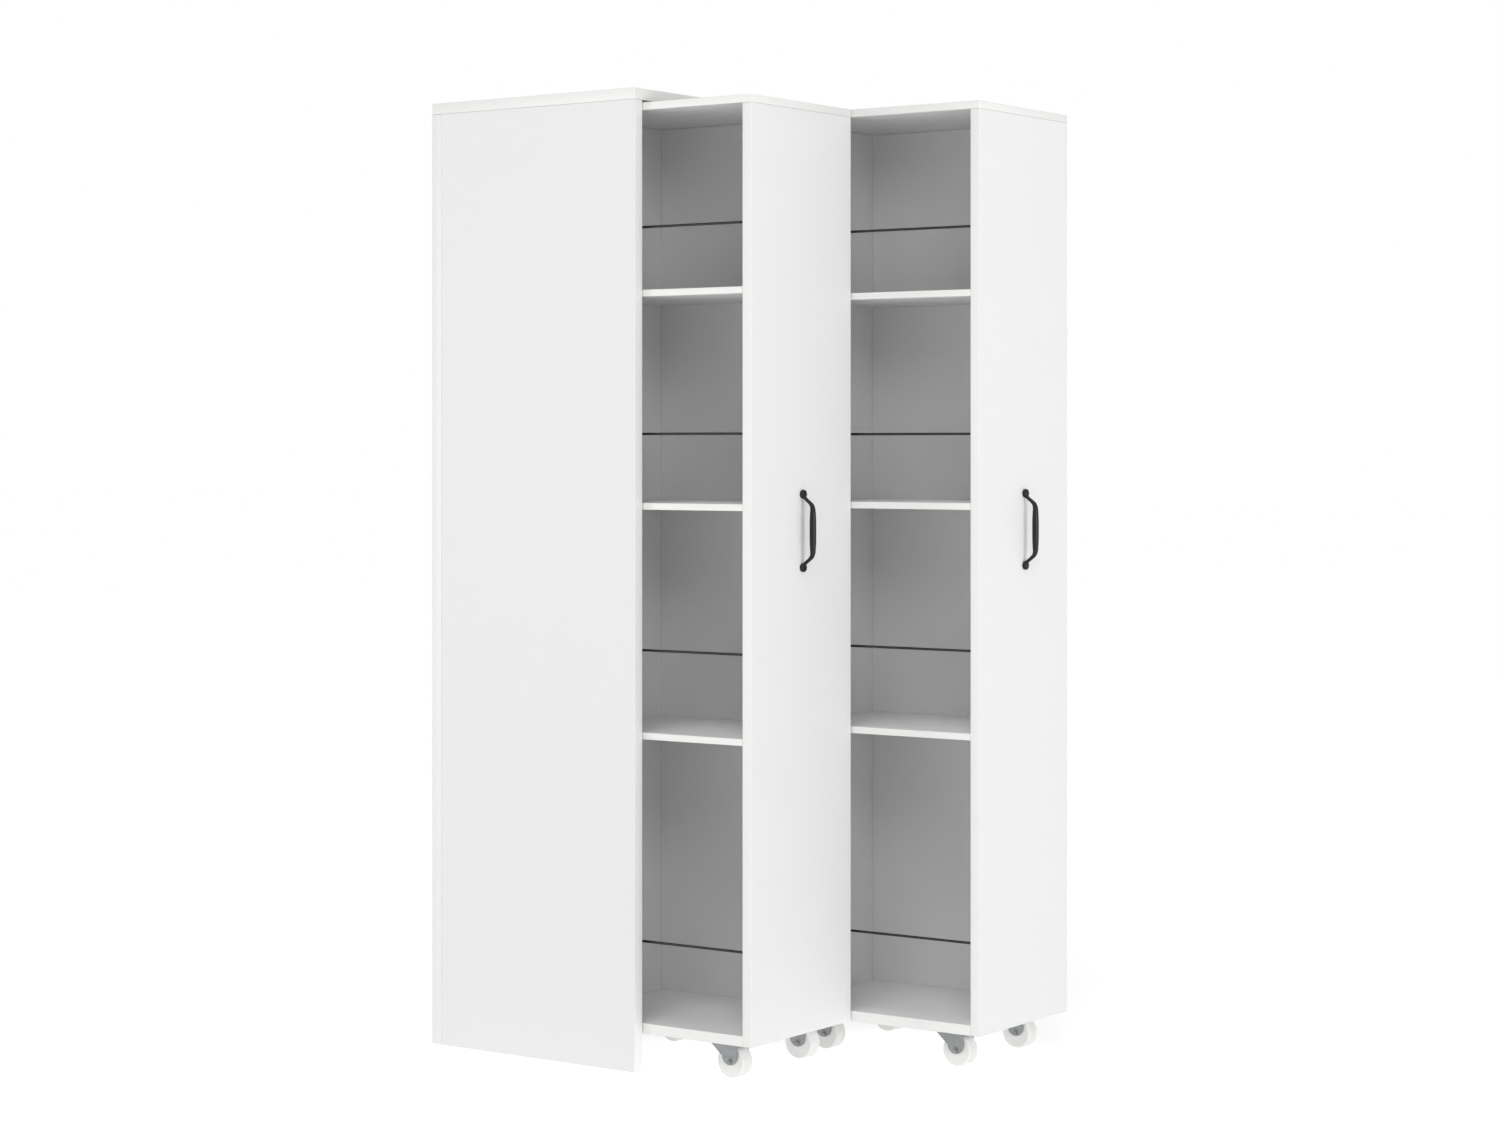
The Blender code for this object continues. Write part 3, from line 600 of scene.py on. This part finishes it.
def shell(rings, slots=0, wear=0.0, loop=False):
    """A closed skin of rings, a rows x columns x 3 array. slots has one material for all its bands or one for
    each, and wear, a mask of real wear and painted shade, one value or one for each ring. A loop's
    last ring joins its first, and other skins are capped."""
    return {"rings": rings, "slots": slots, "wear": wear, "loop": loop}


def band_faces(rows, columns, loop):
    """Four-sided faces between each ring and the next: a point, its neighbour, and the same two a ring on."""
    bands = rows if loop else rows - 1
    row = np.arange(bands)[:, None] * columns
    next_row = (np.arange(bands)[:, None] + 1) % rows * columns
    here = np.arange(columns)[None, :]
    after = (here + 1) % columns
    return np.stack([row + here, row + after, next_row + after, next_row + here], axis=-1).reshape(-1, 4)


def skin_mesh(name, shells, materials):
    """One mesh of closed skins, with smooth curves, crisp edges and faces that point outwards."""
    points = []
    faces = []
    slots = []
    wear = []
    first = 0
    for skin in shells:
        rows, columns = skin["rings"].shape[:2]
        quads = band_faces(rows, columns, skin["loop"]) + first
        faces += quads.tolist()
        band_slots = np.broadcast_to(skin["slots"], (len(quads) // columns,))
        slots += np.repeat(band_slots, columns).tolist()
        if not skin["loop"]:
            ring = np.arange(columns)
            faces.append((first + ring[::-1]).tolist())
            faces.append((first + (rows - 1) * columns + ring).tolist())
            slots += [int(band_slots[0]), int(band_slots[-1])]
        row_wear_and_shade = np.broadcast_to(skin["wear"], (rows,))
        wear.append(np.repeat(row_wear_and_shade, columns))
        points.append(skin["rings"].reshape(-1, 3))
        first += rows * columns
    mesh = bpy.data.meshes.new(name)
    mesh.from_pydata(np.concatenate(points).tolist(), [], faces)
    mesh.polygons.foreach_set("material_index", slots)
    # The mask holds the handle's real wear and the wheel tread's painted shade
    values = np.concatenate(wear).astype(np.float32)
    mesh.attributes.new("wear", "FLOAT", "POINT").data.foreach_set("value", values)
    for material in materials:
        mesh.materials.append(material)
    shape = bmesh.new()
    shape.from_mesh(mesh)
    bmesh.ops.recalc_face_normals(shape, faces=shape.faces)
    shape.to_mesh(mesh)
    shape.free()
    mesh.shade_smooth()
    mesh.set_sharp_from_angle(angle=np.radians(SHARP_DEGREES))
    return mesh


def add_piece(name, shells, materials, node):
    """Show a finished surface in the place of a node of the frame, on the same body."""
    piece = bpy.data.objects.new(name, skin_mesh(name, shells, materials))
    bpy.context.scene.collection.objects.link(piece)
    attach(piece, frame["nodes"][node]["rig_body"])
    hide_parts(node)


def node_box(node, dowels=NO_DOWELS):
    """The low and high corners of a node without its dowels, as arrays."""
    low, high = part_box(node)
    return np.array(low) + dowels[0], np.array(high) - dowels[1]


def placed(across, up, along, axis, centre):
    """Points of a shape that lies along an axis, about a centre."""
    local = (across, up, along)
    return np.stack([local[index] for index in AXIS_ORDER[axis]], axis=-1) + np.asarray(centre)


def arc(centre, radius, start, end, steps=EDGE_STEPS):
    """Points along an arc given in degrees: the centre plus the radius turned through each angle."""
    angle = np.radians(np.linspace(start, end, steps + 1))
    return np.stack([centre[0] + radius * np.cos(angle), centre[1] + radius * np.sin(angle)], axis=1)


def turned(profile, centre, axis, sides):
    """Rings of a turned shape: each point of the profile, (radius, along), goes once round the axis."""
    radius, along = np.asarray(profile, float).T
    angle = 2 * np.pi * np.arange(sides) / sides
    across = radius[:, None] * np.cos(angle)
    up = radius[:, None] * np.sin(angle)
    return placed(across, up, np.broadcast_to(along[:, None], across.shape), axis, centre)


def mirrored(profile):
    """A turned profile that is the same on both sides of its middle, from the half with along above zero."""
    half = np.asarray(profile, float)
    return np.vstack([half[::-1] * (1, -1), half])


def rounded_rectangle(half_sizes, inset, corner):
    """Points round a rectangle for each inset. A corner is a quarter circle, and its radius shrinks by the
    inset."""
    inset = inset[:, None]
    radius = np.maximum(corner - inset, SMALLEST_RADIUS)
    quarter = np.repeat(np.arange(4), CORNER_STEPS + 1)
    turn = np.tile(np.linspace(0, 1, CORNER_STEPS + 1), 4)
    angle = (quarter + turn) * np.pi / 2
    side_p = np.where((quarter == 0) | (quarter == 3), 1, -1)
    side_q = np.where(quarter < 2, 1, -1)
    across = side_p * (half_sizes[0] - inset - radius) + radius * np.cos(angle)
    up = side_q * (half_sizes[1] - inset - radius) + radius * np.sin(angle)
    return across, up


def slab(low, high, inset, height, corner):
    """Rings of a flat piece between two corners: a rounded rectangle for each step of its edge's profile,
    drawn in by the step's inset and raised by its height from the middle plane. It is thinnest along its own
    axis."""
    size = high - low
    thin = int(np.argmin(size))
    axis = "XYZ"[thin]
    wide = [AXIS_ORDER[axis].index(0), AXIS_ORDER[axis].index(1)]
    across, up = rounded_rectangle(size[wide] / 2, inset, corner)
    along = np.broadcast_to(height[:, None], across.shape)
    return placed(across, up, along, axis, (low + high) / 2)


def edge_profile(face_insets, face_heights, half, rounding):
    """A flat piece's edge from its lower face to its upper face, as insets and heights from the middle plane.
    Each half is its face's own steps, and a quarter circle from the face round to the edge."""
    turn = np.radians(np.linspace(0, 90, EDGE_STEPS + 1))
    inset = np.concatenate([face_insets, rounding * (1 - np.sin(turn))])
    height = np.concatenate([face_heights, half - rounding * (1 - np.cos(turn))])
    return np.concatenate([inset, inset[::-1]]), np.concatenate([-height, height[::-1]])


def add_board(node, dowels, looks):
    """A coated board with a strip round its edges and a fine groove where they meet, in a node's place."""
    low, high = node_box(node, dowels)
    half = (high - low).min() / 2
    groove = looks.joint_groove
    joint_insets = looks.band_thickness + groove * GROOVE_INSET_SHARES
    joint_heights = half - groove * GROOVE_DEPTH_SHARES
    inset, height = edge_profile(joint_insets, joint_heights, half, looks.edge_rounding)
    rings = slab(low, high, inset, height, looks.corner_rounding)
    band_inset = (inset[1:] + inset[:-1]) / 2
    slots = np.where(band_inset > looks.band_thickness, 0, 1)
    materials = [
        finish("melamine_faced_chipboard", coated_board_face, looks),
        finish("abs_edge_strip", plastic_edge_strip, looks),
    ]
    add_piece(f"{node}_coated", [shell(rings, slots)], materials, node)


def add_rod(node, looks):
    """A guard rod: a straight wire with rounded ends."""
    low, high = node_box(node)
    centre = (low + high) / 2
    half_length = (high[1] - low[1]) / 2
    radius = (high[2] - low[2]) / 2
    rounding = looks.end_rounding
    end = arc((radius - rounding, half_length - rounding), rounding, 0, 90)
    rings = turned(mirrored(end), centre, "Y", ROD_SIDES)
    materials = [finish("lacquered_steel_wire", black_lacquered_wire, looks)]
    add_piece(f"{node}_wire", [shell(rings)], materials, node)


def flowing_line(points, steps):
    """A smooth line through points: a cubic between each two. Its slope at a point is the weighted mean of
    the slopes on both sides, where the nearer neighbour counts more, so uneven spacing gives no kinks."""
    gap = np.linalg.norm(np.diff(points[:, :2], axis=0), axis=1)
    travel = np.concatenate([[0], np.cumsum(gap)])
    slope = np.gradient(points, travel, axis=0)
    start = points[:-1, None]
    end = points[1:, None]
    span = gap[:, None, None]
    t = np.linspace(0, 1, steps, endpoint=False)[None, :, None]
    line = (
        (2 * t**3 - 3 * t**2 + 1) * start
        + (t**3 - 2 * t**2 + t) * span * slope[:-1, None]
        + (3 * t**2 - 2 * t**3) * end
        + (t**3 - t**2) * span * slope[1:, None]
    )
    return np.vstack([line.reshape(-1, points.shape[1]), points[-1]])


def bow_line(spacing, standoff):
    """The bow handle's middle line, as (distance from the panel, height, share of the bar's size). A thin
    neck leaves the inner side of each foot, bends outwards in an even curve and swells into the barrel of
    the bar."""
    half = np.stack(
        [BOW_OUT_SHARES * standoff, BOW_HEIGHT_SHARES * spacing / 2, BOW_THICKNESS_SHARES], axis=1
    )
    middle = (standoff, 0, 1)
    line = flowing_line(np.vstack([half, middle, half[::-1] * (1, -1, 1)]), PATH_STEPS)
    line[:, 0] = np.minimum(line[:, 0], standoff)
    return line


def bar_rings(line, radius, foot_face, centre):
    """Rings of the bar: at each step of its line, a circle square to the line, in the plane of X and the
    line's own outward normal."""
    out, height, share = line.T
    slope = np.gradient(np.stack([-out, height], axis=1), axis=0)
    slope /= np.linalg.norm(slope, axis=1, keepdims=True)
    angle = 2 * np.pi * np.arange(BAR_SIDES) / BAR_SIDES
    across = (radius * share)[:, None] * np.cos(angle)
    square = (radius * share)[:, None] * np.sin(angle)
    x = centre[0] + across
    y = foot_face - out[:, None] + square * slope[:, 1:2]
    z = centre[2] + height[:, None] - square * slope[:, 0:1]
    return np.stack([x, y, z], axis=-1)


def foot_profile(looks):
    """A handle's foot: a short round pad with a softly rounded outer edge."""
    radius = looks.foot_diameter / 2
    rounding = looks.foot_rounding
    outer = arc((radius - rounding, looks.foot_height - rounding), rounding, 0, 90)
    inner = [(radius - FOOT_CHAMFER, 0), (radius, FOOT_CHAMFER)]
    return np.vstack([inner, outer, [(radius * FOOT_FLAT_SHARE, looks.foot_height)]])


def add_handle(node, looks):
    """A cast bow handle: two round feet with the bar's thin necks growing out of them. Hands rub the bar
    most where it is thickest."""
    low, high = node_box(node)
    centre = (low + high) / 2
    spacing = high[2] - low[2] - looks.foot_diameter
    standoff = high[1] - low[1] - looks.bar_diameter / 2
    line = bow_line(spacing, standoff)
    shells = [shell(bar_rings(line, looks.bar_diameter / 2, high[1], centre), wear=line[:, 2] ** 4)]
    profile = foot_profile(looks) * (1, -1)
    for side in (-1, 1):
        foot = (centre[0], high[1], centre[2] + side * spacing / 2)
        shells.append(shell(turned(profile, foot, "Y", FOOT_SIDES)))
    materials = [finish("powder_coated_zinc_casting", black_powder_coat, looks)]
    add_piece(f"{node}_casting", shells, materials, node)


def plus_outline(angle, length, width):
    """The radius at each angle of a plus sign: the larger of an upright and a level bar's reach that way."""
    level = np.minimum(length / np.abs(np.cos(angle)), width / np.abs(np.sin(angle)))
    upright = np.minimum(width / np.abs(np.cos(angle)), length / np.abs(np.sin(angle)))
    return np.maximum(level, upright)


def pan_head(centre, axis, radius, height):
    """Rings of a screw's pan head from its seat outwards: an upright rim, a quarter ellipse in to its flat
    top, and a tapered plus-shaped recess. Height may be negative."""
    angle = 2 * np.pi * (np.arange(SCREW_SIDES) + 0.5) / SCREW_SIDES
    turn = np.radians(np.linspace(0, 90, EDGE_STEPS + 1))
    dome_radii = HEAD_TOP_SHARE + (1 - HEAD_TOP_SHARE) * np.cos(turn)
    dome_heights = HEAD_RIM_SHARE + (1 - HEAD_RIM_SHARE) * np.sin(turn)
    round_radii = radius * np.concatenate([[1], dome_radii, [RECESS_EDGE_SHARE]])
    plus = plus_outline(angle, radius * RECESS_LENGTH_SHARE, radius * RECESS_WIDTH_SHARE)
    radii = np.vstack([round_radii[:, None] * np.ones(SCREW_SIDES), plus, plus * RECESS_TAPER_SHARE])
    heights = height * np.concatenate([[0], dome_heights, [1, 1, RECESS_FLOOR_SHARE]])
    across = radii * np.cos(angle)
    up = radii * np.sin(angle)
    return placed(across, up, np.broadcast_to(heights[:, None], across.shape), axis, centre)


def add_handle_screw(node, looks):
    """A handle's screw: its pan head on the panel's inner face and its shank through the panel."""
    low, high = node_box(node)
    seat = high[1] - HANDLE_SCREW_HEAD
    seat_centre = ((low[0] + high[0]) / 2, seat, (low[2] + high[2]) / 2)
    shank = [(HANDLE_SCREW_SHANK, low[1] - seat), (HANDLE_SCREW_SHANK, SHANK_OVERLAP)]
    shells = [
        shell(pan_head(seat_centre, "Y", (high[0] - low[0]) / 2, HANDLE_SCREW_HEAD)),
        shell(turned(shank, seat_centre, "Y", SCREW_SIDES)),
    ]
    materials = [finish("zinc_plated_bolt", zinc_plated_bolt, looks)]
    add_piece(f"{node}_headed", shells, materials, node)


def cheek_edges(height, top, looks):
    """The front and rear edge of a fork's cheek at each height over the axle: two straight lines that lean
    apart from the lobe's centre up to the top, and the lobe's circle below its centre."""
    centre = looks.lobe_rise
    radius = looks.lobe_radius
    share = np.clip((height - centre) / (top - centre), 0, 1)
    below = np.clip(centre - height, 0, radius)
    circle = np.sqrt(radius**2 - below**2)
    front = np.where(height > centre, radius + (looks.front_reach - radius) * share, circle)
    rear = np.where(height > centre, radius + (looks.rear_reach - radius) * share, circle)
    return -front, rear


def cheek_rings(axle, side, inner, top, looks):
    """Rings of one pressed cheek, a level slice at each height. A slice goes along the outer face, round the
    rear edge, back along the inner face and round the front edge. The sheet stands beside the wheel, steps
    out above a line that rises with the square of the distance from the axle, and bends out into the plate
    at its top."""
    bottom = looks.lobe_rise - looks.lobe_radius + LOBE_TIP
    fall = np.linspace(0, np.pi / 2, CHEEK_ROWS)
    height = bottom + (top - bottom) * (1 - np.sin(fall))
    front, rear = (edge_line[:, None] for edge_line in cheek_edges(height, top, looks))
    width = rear - front
    edge = np.minimum(CHEEK_EDGE, width * CHEEK_EDGE_SHARE)
    face_y = front + edge + (width - 2 * edge) * np.linspace(0, 1, CHEEK_COLUMNS)
    rear_y = rear - edge * OUTLINE_INSET_SHARES
    front_y = front + edge * OUTLINE_INSET_SHARES
    y = np.hstack([face_y, rear_y, face_y[:, ::-1], front_y])
    half = looks.sheet / 2
    face_x = np.full_like(face_y, half)
    edge_x = FACE_SIDES * (half - edge * FACE_INSET_SHARES)
    across = np.hstack([face_x, edge_x, -face_x, -edge_x])
    z = np.broadcast_to(height[:, None], y.shape)
    step_line = looks.step_height + STEP_RISE * np.minimum((y / looks.lobe_radius) ** 2, STEP_RISE_LIMIT)
    step = np.clip((z - step_line) / STEP_LENGTH + 0.5, 0, 1)
    pressed = looks.step_depth * step**2 * (3 - 2 * step)
    into = np.clip(z - (top - PLATE_BEND), 0, PLATE_BEND)
    flare = PLATE_BEND - np.sqrt(PLATE_BEND**2 - into**2)
    x = side * (inner + half + across + pressed + flare)
    return np.stack([x, y, z], axis=-1) + np.asarray(axle)


def add_fork(tower, corner, looks):
    """A fixed caster's fork: its plate under the bottom board, held by four screws, and a pressed cheek on
    each side of the wheel."""
    node = f"{tower}_caster_fork_{corner}"
    wheel_low, wheel_high = node_box(f"{tower}_wheel_{corner}")
    low, high = node_box(node)
    axle = (wheel_low + wheel_high) / 2
    plate_top = node_box(f"{tower}_bottom_board")[0][2] - PLATE_GAP
    plate_under = plate_top - looks.sheet
    half = looks.sheet / 2
    inset, height = edge_profile([2 * PLATE_EDGE], [half], half, PLATE_EDGE)
    plate_low = np.array([low[0], low[1], plate_under])
    plate_high = np.array([high[0], high[1], plate_top])
    shells = [shell(slab(plate_low, plate_high, inset, height, looks.plate_corner))]
    inner = (wheel_high[0] - wheel_low[0]) / 2 + looks.side_play
    for side in (-1, 1):
        shells.append(shell(cheek_rings(axle, side, inner, plate_top - half - axle[2], looks)))
    materials = [finish("zinc_plated_steel_sheet", zinc_plated_sheet, looks)]
    add_piece(f"{node}_pressed", shells, materials, node)

    edge = looks.screw_edge
    heads = []
    for x in (low[0] + edge, high[0] - edge):
        for y in (low[1] + edge, high[1] - edge):
            heads.append(shell(pan_head((x, y, plate_under), "Z", PLATE_SCREW_RADIUS, -PLATE_SCREW_HEAD)))
    bolt = [finish("zinc_plated_bolt", zinc_plated_bolt, looks)]
    add_piece(f"{tower}_caster_screws_{corner}", heads, bolt, node)


def wheel_profile(half_width, radius, rounding):
    """Half of a wheel from its tread's middle to its bore: a fine parting line, a rounded shoulder, a side
    that sinks a little towards the middle, and a hub that stands level with the shoulder."""
    shoulder_radius = radius - rounding
    tread = [(radius - depth, along) for depth, along in PARTING_LINE]
    shoulder = arc((shoulder_radius, half_width - rounding), rounding, 0, 90, 2 * EDGE_STEPS)
    dish = [(shoulder_radius - inwards, half_width - depth) for inwards, depth in DISH_RIM]
    hub = [(hub_radius, half_width - depth) for hub_radius, depth in WHEEL_HUB]
    return np.vstack([tread, shoulder, dish, hub])


def add_wheel(node, looks):
    """A solid moulded wheel with a wide, round-shouldered tread, the only part that gets painted shade and
    the dulling of rolling.
    """
    low, high = node_box(node)
    radius = (high[2] - low[2]) / 2
    profile = mirrored(wheel_profile((high[0] - low[0]) / 2, radius, looks.tread_rounding))
    # The tread's band: it gets painted shade in its colour and a rougher gloss from rolling
    wear = np.clip(1 - (radius - profile[:, 0]) / TREAD_SHADE_DEPTH, 0, 1)
    rings = turned(profile, (low + high) / 2, "X", WHEEL_SIDES)
    materials = [finish("moulded_polyamide", moulded_wheel_plastic, looks)]
    add_piece(f"{node}_moulded", [shell(rings, 0, wear, True)], materials, node)


def add_axle(node, looks):
    """An axle bolt: a plain shank with a riveted, dimpled head over a washer at each end."""
    low, high = node_box(node)
    end = (high[0] - low[0]) / 2
    half = [(radius, end - inwards) for radius, inwards in AXLE_END]
    rings = turned(mirrored(half), (low + high) / 2, "X", AXLE_SIDES)
    materials = [finish("zinc_plated_bolt", zinc_plated_bolt, looks)]
    add_piece(f"{node}_riveted", [shell(rings)], materials, node)


def add_softbox(name, place, target, size, power):
    """A wide rectangular light that faces a point."""
    lamp = bpy.data.lights.new(name, "AREA")
    lamp.shape = "RECTANGLE"
    lamp.size = size[0]
    lamp.size_y = size[1]
    lamp.energy = power
    box = bpy.data.objects.new(name, lamp)
    box.visible_camera = False
    box.location = place
    box.rotation_euler = (Vector(target) - Vector(place)).to_track_quat("-Z", "Y").to_euler()
    bpy.context.scene.collection.objects.link(box)


def add_high_light(strength):
    """A wide soft light from high on the left, which reaches the floor and the upper faces of the boards."""
    lamp = bpy.data.lights.new("high_light", "SUN")
    lamp.energy = strength
    lamp.angle = np.radians(HIGH_LIGHT_WIDTH_DEGREES)
    high = bpy.data.objects.new("high_light", lamp)
    high.rotation_euler = Vector(HIGH_LIGHT_FROM).to_track_quat("Z", "Y").to_euler()
    bpy.context.scene.collection.objects.link(high)


def add_room_light(strength):
    """An even white room: bright where the camera looks straight at it, and softer as light on the object."""
    world = bpy.data.worlds.new("studio_room")
    bpy.context.scene.world = world
    world.use_nodes = True
    tree = world.node_tree
    tree.nodes.clear()
    seen = add_node(tree, "ShaderNodeLightPath").outputs["Is Camera Ray"]
    amount = add_node(tree, "ShaderNodeMapRange", inputs={"Value": seen, "To Min": strength, "To Max": 1})
    room = add_node(tree, "ShaderNodeBackground", inputs={"Strength": amount.outputs["Result"]})
    room.inputs["Color"].default_value = (1, 1, 1, 1)
    add_node(tree, "ShaderNodeOutputWorld", inputs={"Surface": room.outputs["Background"]})


def add_floor(looks):
    """A wide level floor under the wheels."""
    reach = FLOOR_REACH
    corners = [(-reach, -reach, 0), (reach, -reach, 0), (reach, reach, 0), (-reach, reach, 0)]
    mesh = bpy.data.meshes.new("studio_floor")
    mesh.from_pydata(corners, [], [(0, 1, 2, 3)])
    mesh.materials.append(finish("opal_acrylic_sheet", opal_floor_sheet, looks))
    floor = bpy.data.objects.new("studio_floor", mesh)
    bpy.context.scene.collection.objects.link(floor)


def add_camera(looks):
    """A level camera with the photograph's place, lens and framing."""
    lens = bpy.data.cameras.new("camera")
    lens.lens = looks.camera_lens
    lens.sensor_width = SENSOR_WIDTH_MM
    lens.sensor_fit = "HORIZONTAL"
    lens.shift_y = looks.camera_shift
    lens.clip_end = FARTHEST_SEEN
    camera = bpy.data.objects.new("camera", lens)
    camera.location = looks.camera_place
    camera.rotation_euler = (np.radians(90), 0, looks.camera_turn)
    bpy.context.scene.collection.objects.link(camera)
    bpy.context.scene.camera = camera


class TOWER_OT_housing(bpy.types.Operator):
    """Finish the housing's four coated boards"""

    bl_idname = "storage_tower.housing"
    bl_label = "Finish Housing"

    def execute(self, context):
        for name, dowels in HOUSING_BOARDS.items():
            add_board(f"housing_{name}", dowels, context.scene.board_looks)
        return {"FINISHED"}


class TOWER_OT_boards(bpy.types.Operator):
    """Finish the towers' panels, shelves, top boards and bottom boards"""

    bl_idname = "storage_tower.boards"
    bl_label = "Finish Tower Boards"

    def execute(self, context):
        for tower in TOWERS:
            for name, dowels in TOWER_BOARDS.items():
                add_board(f"{tower}_{name}", dowels, context.scene.board_looks)
        return {"FINISHED"}


class TOWER_OT_rods(bpy.types.Operator):
    """Finish the guard rods across the open sides"""

    bl_idname = "storage_tower.rods"
    bl_label = "Finish Guard Rods"

    def execute(self, context):
        for tower in TOWERS:
            for number in ROD_NUMBERS:
                add_rod(f"{tower}_guard_rod_{number}", context.scene.rod_looks)
        return {"FINISHED"}


class TOWER_OT_handles(bpy.types.Operator):
    """Finish the bow handles and the screws that hold them"""

    bl_idname = "storage_tower.handles"
    bl_label = "Finish Handles"

    def execute(self, context):
        for tower in TOWERS:
            add_handle(f"{tower}_handle", context.scene.handle_looks)
            for end in ("lower", "upper"):
                add_handle_screw(f"{tower}_handle_screw_{end}", context.scene.caster_looks)
        return {"FINISHED"}


class TOWER_OT_casters(bpy.types.Operator):
    """Finish the forks, screws, wheels and axle bolts of the casters"""

    bl_idname = "storage_tower.casters"
    bl_label = "Finish Casters"

    def execute(self, context):
        looks = context.scene.caster_looks
        for tower in TOWERS:
            for corner in CASTER_CORNERS:
                add_fork(tower, corner, looks)
                add_wheel(f"{tower}_wheel_{corner}", looks)
                add_axle(f"{tower}_axle_{corner}", looks)
        return {"FINISHED"}


class TOWER_OT_stage(bpy.types.Operator):
    """Add the floor, the studio light and the camera"""

    bl_idname = "storage_tower.stage"
    bl_label = "Add Stage"

    def execute(self, context):
        looks = context.scene.stage_looks
        add_floor(looks)
        for name, (place, target, size) in SOFTBOXES.items():
            add_softbox(f"{name}_softbox", place, target, size, getattr(looks, f"{name}_power"))
        add_high_light(looks.high_strength)
        add_room_light(looks.sky_strength)
        add_camera(looks)
        context.scene.view_settings.view_transform = "Standard"
        return {"FINISHED"}


class TOWER_PT_sidebar(bpy.types.Panel):
    """Lists the steps that finish the storage tower, and the sizes, colours and lights that they use"""

    bl_label = "Storage Tower"
    bl_space_type = "VIEW_3D"
    bl_region_type = "UI"
    bl_category = "Storage Tower"

    def draw(self, context):
        column = self.layout.column(align=True)
        for step in STEPS:
            column.operator(step.bl_idname)
        for name in LOOKS:
            group = getattr(context.scene, name)
            box = self.layout.box()
            for field in group.__annotations__:
                box.prop(group, field)


STEPS = (TOWER_OT_housing, TOWER_OT_boards, TOWER_OT_rods, TOWER_OT_handles, TOWER_OT_casters, TOWER_OT_stage)


def register():
    for name, group in LOOKS.items():
        bpy.utils.register_class(group)
        setattr(bpy.types.Scene, name, PointerProperty(type=group))
    for step in STEPS:
        bpy.utils.register_class(step)
    bpy.utils.register_class(TOWER_PT_sidebar)


def unregister():
    bpy.utils.unregister_class(TOWER_PT_sidebar)
    for step in reversed(STEPS):
        bpy.utils.unregister_class(step)
    for name, group in reversed(LOOKS.items()):
        delattr(bpy.types.Scene, name)
        bpy.utils.unregister_class(group)


def main():
    """Finish every piece and add the stage."""
    register()
    bpy.ops.storage_tower.housing()
    bpy.ops.storage_tower.boards()
    bpy.ops.storage_tower.rods()
    bpy.ops.storage_tower.handles()
    bpy.ops.storage_tower.casters()
    bpy.ops.storage_tower.stage()


if __name__ == "__main__":
    main()
